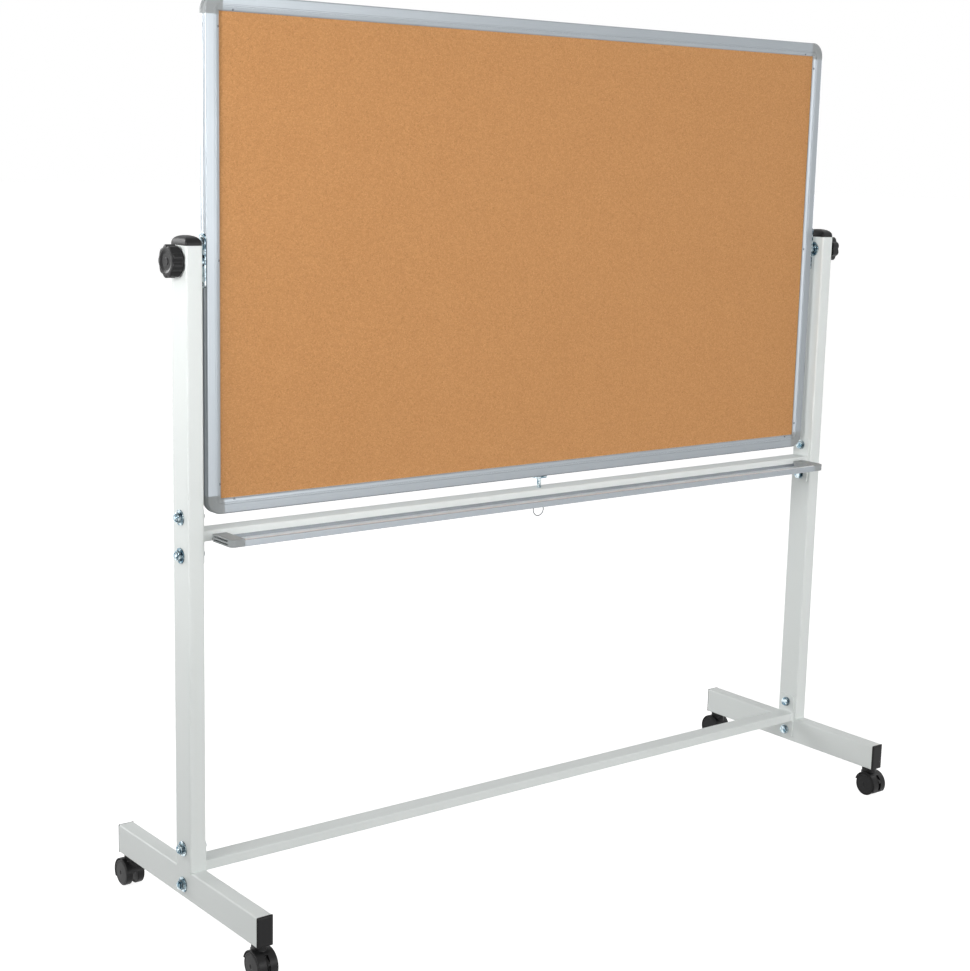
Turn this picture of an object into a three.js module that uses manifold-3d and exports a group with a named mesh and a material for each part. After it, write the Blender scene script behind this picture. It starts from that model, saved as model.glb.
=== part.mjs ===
// Reversible cork and writing board, hung between the posts of a stand on casters.
// Millimetres. X runs along the board, the cork side faces -Y, Z is up. The origin lies on the
// floor, under the middle of the board. Left and right are as seen from the cork side.

import * as THREE from 'three';
import { mergeVertices } from 'three/addons/utils/BufferGeometryUtils.js';
import Module from 'manifold-3d';

const wasm = await Module();
wasm.setup();

// Posts and feet, of one rectangular tube
const postSpan = 1620; // across the outer faces of both posts
const tubeWide = 32; // along X
const tubeDeep = 56; // along Y on a post, along Z on a foot
const tubeWall = 1.5;
const tubeCorner = 4;
const footLength = 516;
const footUnderside = 61.5; // above the floor, on the casters
const postOverPivot = 26.9; // post's end above the board's pivots

// Crossbars and their end plates
const barDeep = 40;
const barTall = 20;
const barWall = 1.5;
const barCorner = 3;
const upperBarDrop = 23.5; // bar's top below the board's lower edge
const lowerBarRise = 4; // bar's middle above the feet
const plateThick = 3;
const plateWide = 44;
const plateTall = 100;
const plateCorner = 5;
const drainRadius = 4;

// Bolts
const shankRadius = 5;
const shankClearance = 0.35;
const hexFlats = 17;
const headTall = 6.4;
const nutTall = 6.5;
const headWasherRadius = 10.5;
const nutWasherRadius = 14;
const washerThick = 2;
const nylonRadius = 7.25;
const nylonTall = 2.5;
const boltEnd = 1;
const boltReach = 34; // from a bar's middle up and down to its bolts

// Caps on the posts and plugs in the feet
const capTall = 17;
const capRoundShare = 0.7; // exponent of the dome, lower is fuller
const insertClearance = 0.25;
const insertDeep = 12;
const plugProud = 3;
const plugCorner = 2;
const plugEase = 1;

// Board
const boardSideGap = 16; // between the frame and the posts
const boardTall = 889;
const boardThick = 22;
const boardTop = 1654;
const frameFace = 28; // width of a rail's face, and outer radius of the corners
const edgeEase = 2.5;
const grooveHalf = 4.6; // groove along the outer side
const grooveDeep = 1;
const beadStart = 19.5; // dark line along the face
const beadWide = 1;
const beadDeep = 0.8;
const lipDrop = 0.5;
const lipEdge = 1.2; // lip's thickness at the panel
const slotStart = 14.5;
const slotHalf = 6.25;
const chamberStart = 2.5;
const chamberWide = 10;
const chamberHalf = 9;
const cornerLeg = 34;
const spigotLong = 20;
const spigotClearance = 0.3;
const panelClearance = 0.5;
const corkThick = 3;
const sheetThick = 0.8;
const panelThick = 12;

// Pivots
const pivotPlateThick = 3;
const pivotPlateWide = 20;
const pivotPlateTall = 92;
const pivotScrewReach = 40;
const screwHeadRadius = 4;
const screwHeadTall = 2.2;
const pivotNutTall = 7.5;
const smallWasherRadius = 12;
const smallWasherThick = 2.2;
const wideWasherRadius = 16;
const pivotGap = 0.3; // between the wide washer and the post, and the post and the knob
const boltIntoKnob = 18;

// Knobs
const knobLobes = 9;
const knobCrest = 29.25;
const knobValley = 26;
const knobFlangeRadius = 23;
const knobFlangeThick = 4.5;
const knobLong = 23.7;
const knobEase = 1.6;
const knobDishRadius = 20;
const knobDishFloor = 15;
const knobDishDeep = 1.8;
const knobButtonRadius = 6;
const knobButtonTall = 0.9;

// Pen tray
const trayDeep = 65;
const trayTall = 12.5;
const trayUnderBar = 1; // tray's underside below the bar's
const trayWall = 2;
const trayBackTall = 8.5;
const trayEndGap = 20; // between the tray's end caps and the posts
const noseTop = 9; // flat top of the front nose
const noseSlope = 8; // run of its inner slope
const noseEase = 2;
const trayCapTall = 14;
const trayCapLong = 28;
const trayCapRadius = 10;
const trayCapSlotTall = 3;
const trayCapSlotDeep = 3;
const trayCapSlotGap = 3;
const trayCapSlotMargin = 6;
const trayCapSpigot = 15;
const trayCapClearance = 0.3;

// Lock under the board
const catchWide = 25;
const catchDeep = 20;
const catchThick = 4;
const pinRadius = 4.25;
const pinClearance = 0.45;
const pinTipGap = 0.4; // between the pin's tip and the catch plate
const pinTipEase = 1;
const pinCollarRadius = 6.5;
const pinCollarTall = 3;
const pinCollarGap = 0.3;
const tailRadius = 3.5;
const tailDrop = 17.5; // tail's end below the bar
const eyeRadius = 1.8;
const eyeDrop = 12.1; // eye's middle below the bar
const ringRadius = 13.1;
const ringWire = 0.9;
const ringDrop = 12.4; // top of the ring's middle line below the bar
const springRadius = 4.9;
const springWire = 0.6;
const springTurns = 3.5;
const springClearance = 0.3;

// Casters
const wheelRadius = 25;
const wheelThick = 13;
const wheelEase = 1.5;
const webThick = 11;
const webClearance = 0.5;
const webHubRadius = 9;
const axleRadius = 3;
const axleClearance = 0.35;
const hoodWall = 2.5;
const hoodClearance = 1;
const hoodFrontAngle = -32; // degrees above the axle, on the side away from the stem
const hoodBackAngle = 165;
const casterTrail = 12; // from the stem out to the axle
const casterInset = 25; // from the foot's end in to the stem
const neckRadius = 10.5;
const neckReach = 12; // from the stem forward over the axle
const neckTop = 60;
const neckDeep = 30;
const stemRadius = 4;
const stemClearance = 0.35;
const stemDeep = 15;
const stemGap = 0.3;
const stemCollarRadius = 12;
const stemNutTall = 8;
const stemEnd = 2.5;
const brakeThick = 6.4;
const brakeClearance = 0.4;
const brakePivotOut = 12; // from the axle
const brakePivotUp = 17;
const brakeHubRadius = 4;
const brakePinRadius = 1.5;
const brakePinLong = 10.2;
const brakeTipOut = 28.4;
const brakeTipUp = 8;
const brakeTipTall = 5;
const brakeSlotStart = 6;
const brakeSlotLow = -11;
const brakeSlotHigh = 22.5;

const overrun = 1; // how far a cutting shape passes the face that it cuts
const weldDistance = 0.0001;

// Counts of facets
const roundSteps = 16;
const fineSteps = 12;
const cornerSteps = 2;
const easeSteps = 1;
const archSteps = 12;
const sweepSteps = 20;
const lobeSteps = 5;
const ringSteps = 24;
const wireSteps = 6;
const springStepsPerTurn = 8;
const springSides = 5;

// Places worked out from the sizes above
const footTop = footUnderside + tubeDeep;
const boardLow = boardTop - boardTall;
const pivotHeight = boardTop - boardTall / 2;
const postTop = pivotHeight + postOverPivot;
const postOuter = postSpan / 2;
const postInner = postOuter - tubeWide;
const tubeMiddle = postOuter - tubeWide / 2;
const plateInner = postInner - plateThick;
const upperBarTop = boardLow - upperBarDrop;
const upperBarLow = upperBarTop - barTall;
const upperBarMiddle = upperBarTop - barTall / 2;
const lowerBarMiddle = footTop + lowerBarRise;
const frameHalf = boardThick / 2;
const panelHalf = panelThick / 2;
const halfWide = postInner - boardSideGap;
const halfTall = boardTall / 2;
const trayHalf = postInner - trayEndGap - trayCapLong;
const hexRadius = hexFlats / 2 / Math.cos(Math.PI / 6);

const finishes = {
  powder: { color: 0xdfe2df, roughness: 0.5, metalness: 0.1 },
  zinc: { color: 0xb9c6cc, roughness: 0.3, metalness: 0.9 },
  anodised: { color: 0xc9ccd0, roughness: 0.35, metalness: 0.8 },
  greyPlastic: { color: 0x9c9e9f, roughness: 0.5, metalness: 0.1 },
  blackPlastic: { color: 0x2b2b2c, roughness: 0.45, metalness: 0 },
  cork: { color: 0xbd8a56, roughness: 0.9, metalness: 0 },
  core: { color: 0xc8a877, roughness: 0.9, metalness: 0 },
  enamel: { color: 0xf4f5f5, roughness: 0.15, metalness: 0 },
  wire: { color: 0x6b6e70, roughness: 0.35, metalness: 0.9 },
};

// Solids

// makes a closed solid of a geometry, with its faces pointing out
function solidOf(geometry) {
  const bare = geometry.clone();
  bare.deleteAttribute('normal');
  bare.deleteAttribute('uv');
  const merged = mergeVertices(bare, weldDistance);
  const points = merged.attributes.position.array;
  const triangles = Uint32Array.from(merged.index.array);
  const corner = [new THREE.Vector3(), new THREE.Vector3(), new THREE.Vector3()];
  let volume = 0;
  for (let i = 0; i < triangles.length; i += 3) {
    corner.forEach((c, k) => c.fromArray(points, triangles[i + k] * 3));
    volume += corner[0].dot(corner[1].clone().cross(corner[2]));
  }
  if (volume < 0) triangles.reverse();
  const mesh = new wasm.Mesh({ numProp: 3, vertProperties: Float32Array.from(points), triVerts: triangles });
  return new wasm.Manifold(mesh);
}

// extrudes a flat shape between two places on an axis; the shape's own two directions are Y and Z
// for axis x, X and Z for axis y, and X and Y for axis z
function prism(shape, axis, from, to, ease = 0) {
  const options = { depth: to - from - 2 * ease, bevelEnabled: ease > 0, curveSegments: cornerSteps };
  if (ease > 0) {
    Object.assign(options, { bevelThickness: ease, bevelSize: ease, bevelOffset: -ease, bevelSegments: easeSteps });
  }
  const geometry = new THREE.ExtrudeGeometry(shape, options);
  geometry.translate(0, 0, ease);
  const turn = new THREE.Matrix4();
  if (axis === 'x') {
    turn.set(0, 0, 1, from, 1, 0, 0, 0, 0, 1, 0, 0, 0, 0, 0, 1);
  } else if (axis === 'y') {
    turn.set(1, 0, 0, 0, 0, 0, -1, to, 0, 1, 0, 0, 0, 0, 0, 1);
  } else {
    turn.set(1, 0, 0, 0, 0, 1, 0, 0, 0, 0, 1, from, 0, 0, 0, 1);
  }
  geometry.applyMatrix4(turn);
  return solidOf(geometry);
}

// turns a profile of [radius, place along the axis] points about the X or Y axis
function turned(profile, axis, steps = roundSteps) {
  const geometry = new THREE.LatheGeometry(profile.map(([r, a]) => new THREE.Vector2(r, a)), steps);
  if (axis === 'x') {
    geometry.applyMatrix4(new THREE.Matrix4().set(0, 1, 0, 0, 0, 0, 1, 0, 1, 0, 0, 0, 0, 0, 0, 1));
  }
  return solidOf(geometry);
}

function shapeOf(points) {
  return new THREE.Shape(points.map(([u, v]) => new THREE.Vector2(u, v)));
}

// regular polygon about a middle point, first corner at the given turn
function roundShape(radius, middle = [0, 0], steps = roundSteps, turn = 0) {
  const points = [];
  for (let i = 0; i < steps; i += 1) {
    const angle = turn + (2 * Math.PI * i) / steps;
    points.push([middle[0] + radius * Math.cos(angle), middle[1] + radius * Math.sin(angle)]);
  }
  return shapeOf(points);
}

// rectangle with round corners about a middle point
function rectShape(width, height, radius, middle = [0, 0]) {
  const shape = new THREE.Shape();
  const [u, v] = [width / 2 - radius, height / 2 - radius];
  const [a, b] = middle;
  shape.absarc(a + u, b + v, radius, 0, Math.PI / 2);
  shape.absarc(a - u, b + v, radius, Math.PI / 2, Math.PI);
  shape.absarc(a - u, b - v, radius, Math.PI, 1.5 * Math.PI);
  shape.absarc(a + u, b - v, radius, 1.5 * Math.PI, 2 * Math.PI);
  return shape;
}

function box(x0, x1, y0, y1, z0, z1) {
  const geometry = new THREE.BoxGeometry(x1 - x0, y1 - y0, z1 - z0);
  geometry.translate((x0 + x1) / 2, (y0 + y1) / 2, (z0 + z1) / 2);
  return solidOf(geometry);
}

function rod(axis, radius, from, to, middle = [0, 0], steps = roundSteps) {
  return prism(roundShape(radius, middle, steps), axis, from, to);
}

function hexRod(axis, from, to, middle = [0, 0], turn = 0) {
  return prism(roundShape(hexRadius, middle, 6, turn), axis, from, to);
}

function join(...solids) {
  return solids.reduce((whole, next) => whole.add(next));
}

function cut(solid, ...tools) {
  return tools.reduce((left, tool) => left.subtract(tool), solid);
}

// hollow rectangular tube along an axis
function tube(width, height, wall, corner, axis, from, to, middle) {
  const outer = rectShape(width, height, corner, middle);
  const inner = rectShape(width - 2 * wall, height - 2 * wall, corner - wall, middle);
  outer.holes.push(inner);
  return prism(outer, axis, from, to);
}

function geometryOf(solid) {
  const mesh = solid.getMesh();
  const geometry = new THREE.BufferGeometry();
  geometry.setAttribute('position', new THREE.BufferAttribute(Float32Array.from(mesh.vertProperties), 3));
  geometry.setIndex(Array.from(mesh.triVerts));
  geometry.computeVertexNormals();
  return geometry;
}

function piece(name, solid, finish) {
  const shape = solid instanceof THREE.BufferGeometry ? solid : geometryOf(solid);
  const mesh = new THREE.Mesh(shape, new THREE.MeshStandardMaterial(finishes[finish]));
  mesh.name = name;
  return mesh;
}

// Stand: posts, feet, caps and plugs, made for the right side

function postSolid() {
  const post = tube(tubeWide, tubeDeep, tubeWall, tubeCorner, 'z', footTop, postTop, [tubeMiddle, 0]);
  const holeRadius = shankRadius + shankClearance;
  const heights = [
    lowerBarMiddle + boltReach,
    upperBarMiddle - boltReach,
    upperBarMiddle + boltReach,
    pivotHeight,
  ];
  const from = postInner - overrun;
  const to = postOuter + overrun;
  return cut(post, ...heights.map((z) => rod('x', holeRadius, from, to, [0, z], fineSteps)));
}

function footSolid() {
  const middle = [tubeMiddle, footUnderside + tubeDeep / 2];
  const half = footLength / 2;
  const foot = tube(tubeWide, tubeDeep, tubeWall, tubeCorner, 'y', -half, half, middle);
  const holeRadius = shankRadius + shankClearance;
  const boltHeight = lowerBarMiddle - boltReach;
  const boltHole = rod('x', holeRadius, postInner - overrun, postOuter + overrun, [0, boltHeight], fineSteps);
  const stemPlace = half - casterInset;
  const under = footUnderside - overrun;
  const wallTop = footUnderside + tubeWall + overrun;
  const stemHoles = [-stemPlace, stemPlace].map((y) => rod('z', holeRadius, under, wallTop, [tubeMiddle, y]));
  return cut(foot, boltHole, ...stemHoles);
}

function insertShape(middle) {
  const less = 2 * (tubeWall + insertClearance);
  return [tubeWide - less, tubeDeep - less, tubeCorner - tubeWall, middle];
}

// dome that falls off to all four sides, as two crossing arches
function postCapSolid() {
  const arch = (half, middle) => {
    const points = [];
    for (let i = 0; i <= archSteps; i += 1) {
      const angle = (Math.PI * i) / archSteps;
      points.push([middle + half * Math.cos(angle), postTop + capTall * Math.sin(angle) ** capRoundShare]);
    }
    return shapeOf(points);
  };
  const along = prism(arch(tubeDeep / 2, 0), 'x', postInner, postOuter);
  const across = prism(arch(tubeWide / 2, tubeMiddle), 'y', -tubeDeep / 2, tubeDeep / 2);
  const dome = along.intersect(across);
  const insert = prism(rectShape(...insertShape([tubeMiddle, 0])), 'z', postTop - insertDeep, postTop + overrun);
  return join(dome, insert);
}

function footPlugSolid() {
  const end = footLength / 2;
  const middle = [tubeMiddle, footUnderside + tubeDeep / 2];
  const flange = prism(rectShape(tubeWide, tubeDeep, plugCorner, middle), 'y', end, end + plugProud, plugEase);
  return join(flange, prism(rectShape(...insertShape(middle)), 'y', end - insertDeep, end + overrun));
}

// Crossbars

function barSolid(middle) {
  return tube(barDeep, barTall, barWall, barCorner, 'x', -plateInner, plateInner, [0, middle]);
}

// welded plate on a bar's right end
function barPlateSolid(middle) {
  return cut(
    prism(rectShape(plateWide, plateTall, plateCorner, [0, middle]), 'x', plateInner, postInner),
    rod('x', drainRadius, plateInner - overrun, postInner + overrun, [0, middle], fineSteps),
    ...[-boltReach, boltReach].map((z) => (
      rod('x', shankRadius + shankClearance, plateInner - overrun, postInner + overrun, [0, middle + z], fineSteps)
    )),
  );
}

// the lower bar is one piece with its plates
function lowerBarSolid() {
  const plate = barPlateSolid(lowerBarMiddle);
  return join(barSolid(lowerBarMiddle), plate, plate.rotate([0, 0, 180]));
}

function upperBarSolid() {
  const topHole = rod('z', pinRadius + pinClearance, upperBarMiddle, upperBarTop + overrun);
  const lowHole = rod('z', tailRadius + pinClearance, upperBarLow - overrun, upperBarMiddle);
  return cut(barSolid(upperBarMiddle), topHole, lowHole);
}

// bolt with its head inside, two washers and a nylon-insert nut outside, at height zero
function frameBoltSolid() {
  const headFace = plateInner - washerThick;
  const nutFace = postOuter + washerThick;
  const nylonFace = nutFace + nutTall;
  const end = nylonFace + nylonTall + boltEnd;
  return join(
    rod('x', shankRadius, headFace - headTall / 2, end, [0, 0], fineSteps),
    hexRod('x', headFace - headTall, headFace),
    rod('x', headWasherRadius, headFace, plateInner, [0, 0], fineSteps),
    rod('x', nutWasherRadius, postOuter, nutFace, [0, 0], fineSteps),
    hexRod('x', nutFace, nylonFace),
    rod('x', nylonRadius, nylonFace, nylonFace + nylonTall, [0, 0], fineSteps),
  );
}

// Pen tray

const trayBack = -barDeep / 2;
const trayFront = trayBack - trayDeep;
const trayLow = upperBarLow - trayUnderBar;
const trayTop = trayLow + trayTall;
const noseBack = trayFront + noseTop;

const noseRise = trayTall - trayWall;
const noseLean = Math.hypot(noseRise, noseSlope) / noseRise;

// outline of the nose, moved in from its outer faces
function nosePoints(inset) {
  const slopeAt = (z) => noseBack + (noseSlope * (trayTop - z)) / noseRise - inset * noseLean;
  const [low, high] = [trayLow + inset, trayTop - inset];
  return [
    [trayFront + inset, low],
    [slopeAt(low), low],
    [slopeAt(high), high],
    [trayFront + inset, high],
  ];
}

function traySolid() {
  const outline = shapeOf([
    [trayFront + noseEase / 2, trayLow],
    [trayBack, trayLow],
    [trayBack, trayLow + trayBackTall],
    [trayBack - trayWall, trayLow + trayBackTall],
    [trayBack - trayWall, trayLow + trayWall],
    [noseBack + noseSlope, trayLow + trayWall],
    [noseBack, trayTop],
    [trayFront + noseEase, trayTop],
    [trayFront, trayTop - noseEase],
    [trayFront, trayLow + noseEase / 2],
  ]);
  outline.holes.push(new THREE.Path(nosePoints(trayWall).map(([u, v]) => new THREE.Vector2(u, v))));
  return prism(outline, 'x', -trayHalf, trayHalf);
}

// end cap of the right end, with two slots in its outer side and a spigot into the nose
function trayCapSolid() {
  const end = trayHalf + trayCapLong;
  const back = trayBack - trayCapClearance;
  const plan = new THREE.Shape();
  plan.moveTo(trayHalf, trayFront);
  plan.lineTo(end - trayCapRadius, trayFront);
  plan.absarc(end - trayCapRadius, trayFront + trayCapRadius, trayCapRadius, -Math.PI / 2, 0);
  plan.lineTo(end, back);
  plan.lineTo(trayHalf, back);
  const body = prism(plan, 'z', trayLow, trayLow + trayCapTall);
  const middle = trayLow + trayCapTall / 2;
  const slots = [-1, 1].map((side) => {
    const height = middle + (side * (trayCapSlotTall + trayCapSlotGap)) / 2;
    return box(
      end - trayCapSlotDeep, end + overrun,
      trayFront + trayCapSlotMargin, back - trayCapSlotMargin,
      height - trayCapSlotTall / 2, height + trayCapSlotTall / 2,
    );
  });
  const spigot = prism(
    shapeOf(nosePoints(trayWall + trayCapClearance)), 'x', trayHalf - trayCapSpigot, trayHalf + overrun,
  );
  return cut(join(body, spigot), ...slots);
}

// Board frame. The section runs from the outer side (s = 0) to the lip over the panel, and the
// board's own frame has its origin at the pivots, in the middle of the board.

const halfSection = [
  [grooveDeep, 0],
  [grooveDeep, grooveHalf],
  [0, grooveHalf],
  [0, frameHalf - edgeEase],
  [edgeEase, frameHalf],
  [beadStart, frameHalf],
  [beadStart, frameHalf - beadDeep],
  [beadStart + beadWide, frameHalf - beadDeep],
  [beadStart + beadWide, frameHalf - lipDrop],
  [frameFace, slotHalf + lipEdge],
];

function mirrored(points) {
  return points.slice(1).reverse().map(([s, y]) => [s, -y]).concat(points);
}

const solidSection = mirrored(halfSection);
const slotSection = mirrored([...halfSection, [frameFace, slotHalf], [slotStart, slotHalf]]);
const chamberEnd = chamberStart + chamberWide;

function railSection(place) {
  const shape = shapeOf(slotSection.map(place));
  const chamber = [
    [chamberStart, -chamberHalf],
    [chamberEnd, -chamberHalf],
    [chamberEnd, chamberHalf],
    [chamberStart, chamberHalf],
  ];
  shape.holes.push(new THREE.Path(chamber.map(place).map(([u, v]) => new THREE.Vector2(u, v))));
  return shape;
}

// top rail; the lower one is its mirror image, and both have the lock's hole in the outer wall
function longRailSolid() {
  const shape = railSection(([s, y]) => [y, halfTall - s]);
  const rail = prism(shape, 'x', cornerLeg - halfWide, halfWide - cornerLeg);
  const hole = rod('z', pinRadius + pinClearance, halfTall - chamberStart - overrun, halfTall + overrun);
  return cut(rail, hole);
}

// right rail, with the pivot bolt's hole in its outer wall
function sideRailSolid() {
  const shape = railSection(([s, y]) => [halfWide - s, y]);
  const rail = prism(shape, 'z', cornerLeg - halfTall, halfTall - cornerLeg);
  const from = halfWide - chamberStart - overrun;
  return cut(rail, rod('x', shankRadius + shankClearance, from, halfWide + overrun, [0, 0], fineSteps));
}

// corner at the top right, with its outer corner point at the origin: the section carried round a
// quarter turn, two short legs, and two spigots into the rails' chambers
function frameCornerSolid() {
  const whole = turned(solidSection.map(([s, y]) => [frameFace - s, y]), 'y', sweepSteps);
  const bend = whole
    .translate([-frameFace, 0, -frameFace])
    .intersect(box(-frameFace, overrun, -boardThick, boardThick, -frameFace, overrun));
  const acrossLeg = prism(shapeOf(solidSection.map(([s, y]) => [y, -s])), 'x', -cornerLeg, -frameFace);
  const downLeg = prism(shapeOf(solidSection.map(([s, y]) => [-s, y])), 'z', -cornerLeg, -frameFace);
  const slot = box(
    -cornerLeg - overrun, -slotStart, -slotHalf, slotHalf, -cornerLeg - overrun, -slotStart,
  );
  const near = -chamberStart - spigotClearance;
  const far = -chamberEnd + spigotClearance;
  const side = chamberHalf - spigotClearance;
  const reach = -cornerLeg - spigotLong;
  const acrossSpigot = box(reach, overrun - cornerLeg, -side, side, far, near);
  const downSpigot = box(far, near, -side, side, reach, overrun - cornerLeg);
  return join(cut(join(bend, acrossLeg, downLeg), slot), acrossSpigot, downSpigot);
}

function panelSolid(front, back) {
  const half = [halfWide, halfTall].map((size) => size - slotStart - panelClearance);
  return box(-half[0], half[0], front, back, -half[1], half[1]);
}

// Pivots, made for the right side in the board's frame

const pivotPlateFace = halfWide + pivotPlateThick;

function pivotPlateSolid() {
  const width = pivotPlateWide;
  const plate = prism(rectShape(width, pivotPlateTall, plateCorner), 'x', halfWide, pivotPlateFace);
  const heads = [-pivotScrewReach, pivotScrewReach].map((z) => (
    rod('x', screwHeadRadius, pivotPlateFace - overrun, pivotPlateFace + screwHeadTall, [0, z], fineSteps)
  ));
  const holeRadius = shankRadius + shankClearance;
  const hole = rod('x', holeRadius, halfWide - overrun, pivotPlateFace + overrun, [0, 0], fineSteps);
  return cut(join(plate, ...heads), hole);
}

function pivotBoltSolid() {
  const headFace = halfWide - chamberStart;
  const nutEnd = pivotPlateFace + pivotNutTall;
  const smallEnd = nutEnd + smallWasherThick;
  return join(
    rod('x', shankRadius, headFace - headTall / 2, postOuter + boltIntoKnob, [0, 0], fineSteps),
    hexRod('x', headFace - headTall, headFace, [0, 0], Math.PI / 6),
    hexRod('x', pivotPlateFace, nutEnd, [0, 0], Math.PI / 6),
    rod('x', smallWasherRadius, nutEnd, smallEnd),
    rod('x', wideWasherRadius, smallEnd, postInner - pivotGap),
  );
}

function knobSolid() {
  const start = postOuter + pivotGap;
  const grip = start + knobFlangeThick;
  const end = start + knobLong;
  const points = [];
  const steps = knobLobes * lobeSteps;
  for (let i = 0; i < steps; i += 1) {
    const angle = (2 * Math.PI * i) / steps;
    const radius = knobValley + (knobCrest - knobValley) * (0.5 + 0.5 * Math.cos(knobLobes * angle));
    points.push([radius * Math.cos(angle), radius * Math.sin(angle)]);
  }
  const body = prism(shapeOf(points), 'x', grip, end, knobEase);
  const dish = turned([
    [0, end - knobDishDeep + knobButtonTall],
    [knobButtonRadius, end - knobDishDeep + knobButtonTall],
    [knobButtonRadius, end - knobDishDeep],
    [knobDishFloor, end - knobDishDeep],
    [knobDishRadius, end],
    [knobDishRadius, end + overrun],
    [0, end + overrun],
  ], 'x');
  const bore = rod(
    'x', shankRadius + shankClearance, start - overrun, postOuter + boltIntoKnob + pivotGap, [0, 0], fineSteps,
  );
  return cut(join(body, rod('x', knobFlangeRadius, start, grip + overrun)), dish, bore);
}

// Lock

function catchPlateSolid() {
  const plate = box(
    -catchWide / 2, catchWide / 2, -catchDeep / 2, catchDeep / 2, -halfTall - catchThick, -halfTall,
  );
  const hole = rod('z', pinRadius + pinClearance, -halfTall - catchThick - overrun, overrun - halfTall);
  return cut(plate, hole);
}

const pinTip = boardLow - catchThick - pinTipGap;
const collarTop = upperBarTop - barWall - pinCollarGap;
const collarLow = collarTop - pinCollarTall;

function latchPinSolid() {
  const tip = prism(roundShape(pinRadius), 'z', collarLow, pinTip, pinTipEase);
  const collar = rod('z', pinCollarRadius, collarLow, collarTop);
  const tail = rod('z', tailRadius, upperBarLow - tailDrop, collarTop);
  const eye = rod('x', eyeRadius, -tailRadius - overrun, tailRadius + overrun, [0, upperBarLow - eyeDrop], fineSteps);
  return cut(join(tip, collar, tail), eye);
}

// pull ring hanging in the pin's eye, in the plane across the bar's length
function latchRingGeometry() {
  const geometry = new THREE.TorusGeometry(ringRadius, ringWire, wireSteps, ringSteps);
  geometry.rotateX(Math.PI / 2);
  geometry.translate(0, 0, upperBarLow - ringDrop - ringRadius);
  return geometry;
}

class Helix extends THREE.Curve {
  constructor(radius, low, high, turns) {
    super();
    Object.assign(this, { radius, low, high, turns });
  }

  getPoint(t) {
    const angle = 2 * Math.PI * this.turns * t;
    const height = this.low + (this.high - this.low) * t;
    return new THREE.Vector3(this.radius * Math.cos(angle), this.radius * Math.sin(angle), height);
  }
}

function latchSpringSolid() {
  const low = upperBarLow + barWall + springClearance + springWire;
  const high = collarLow - springClearance - springWire;
  const path = new Helix(springRadius, low, high, springTurns);
  const options = { steps: springTurns * springStepsPerTurn, bevelEnabled: false, extrudePath: path };
  return solidOf(new THREE.ExtrudeGeometry(roundShape(springWire, [0, 0], springSides), options));
}

// Casters. A caster's frame has its origin on the floor under the stem, and the wheels trail
// towards -Y.

const axlePlace = [-casterTrail, wheelRadius];

function stemSolid() {
  const nutLow = footUnderside + tubeWall;
  const nutTop = nutLow + stemNutTall;
  return join(
    rod('z', stemRadius, neckTop - stemDeep, footUnderside, [0, 0], fineSteps),
    rod('z', stemCollarRadius, neckTop + stemGap, footUnderside),
    rod('z', shankRadius, footUnderside - overrun, nutTop + stemEnd, [0, 0], fineSteps),
    hexRod('z', nutLow, nutTop),
  );
}

function arcPoints(radius, from, to, steps) {
  const points = [];
  for (let i = 0; i <= steps; i += 1) {
    const angle = THREE.MathUtils.degToRad(from + ((to - from) * i) / steps);
    points.push([axlePlace[0] - radius * Math.cos(angle), axlePlace[1] + radius * Math.sin(angle)]);
  }
  return points;
}

// place in the caster's YZ plane, from sizes out from and up from the axle
function fromAxle(out, up) {
  return [axlePlace[0] - out, axlePlace[1] + up];
}

function hoodSolid(braked) {
  const inner = wheelRadius + hoodClearance;
  const outer = inner + hoodWall;
  const half = wheelThick + webClearance + webThick / 2;
  const shell = shapeOf([
    ...arcPoints(outer, hoodFrontAngle, hoodBackAngle, archSteps),
    ...arcPoints(inner, hoodBackAngle, hoodFrontAngle, archSteps),
  ]);
  const web = shapeOf([
    ...arcPoints(inner + hoodWall / 2, hoodFrontAngle, hoodBackAngle, archSteps),
    ...arcPoints(webHubRadius, hoodBackAngle, hoodFrontAngle + 360, cornerSteps),
  ]);
  const wheelSpace = rod('x', inner, -half - overrun, half + overrun, axlePlace);
  const neck = cut(
    join(
      rod('z', neckRadius, neckDeep, neckTop),
      box(-neckRadius, neckRadius, -neckReach, 0, neckDeep, neckTop),
      rod('z', neckRadius, neckDeep, neckTop, [0, -neckReach]),
    ),
    wheelSpace,
  );
  const hood = cut(
    join(prism(shell, 'x', -half, half), prism(web, 'x', -webThick / 2, webThick / 2), neck),
    rod('z', stemRadius + stemClearance, neckTop - stemDeep - stemGap, neckTop + overrun, [0, 0], fineSteps),
    rod('x', axleRadius + axleClearance, -webThick, webThick, axlePlace, fineSteps),
  );
  if (!braked) return hood;
  const slotHalfWide = brakeThick / 2 + brakeClearance;
  const slot = prism(shapeOf([
    fromAxle(brakeSlotStart, brakeSlotLow),
    fromAxle(outer + overrun, brakeSlotLow),
    fromAxle(outer + overrun, brakeSlotHigh),
    fromAxle(brakeSlotStart, brakeSlotHigh),
  ]), 'x', -slotHalfWide, slotHalfWide);
  const pinHole = rod(
    'x', brakePinRadius + axleClearance, -webThick, webThick, fromAxle(brakePivotOut, brakePivotUp), fineSteps,
  );
  return cut(hood, slot, pinHole);
}

function wheelsSolid() {
  const inside = webThick / 2 + webClearance;
  const outside = inside + wheelThick;
  const halfProfile = [
    [axleRadius, inside],
    [wheelRadius, inside],
    [wheelRadius, outside - wheelEase],
    [wheelRadius - wheelEase, outside],
    [0, outside],
  ];
  const profile = halfProfile.map(([r, a]) => [r, -a]).reverse().concat(halfProfile);
  return turned(profile, 'x', sweepSteps).translate([0, ...axlePlace]);
}

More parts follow.
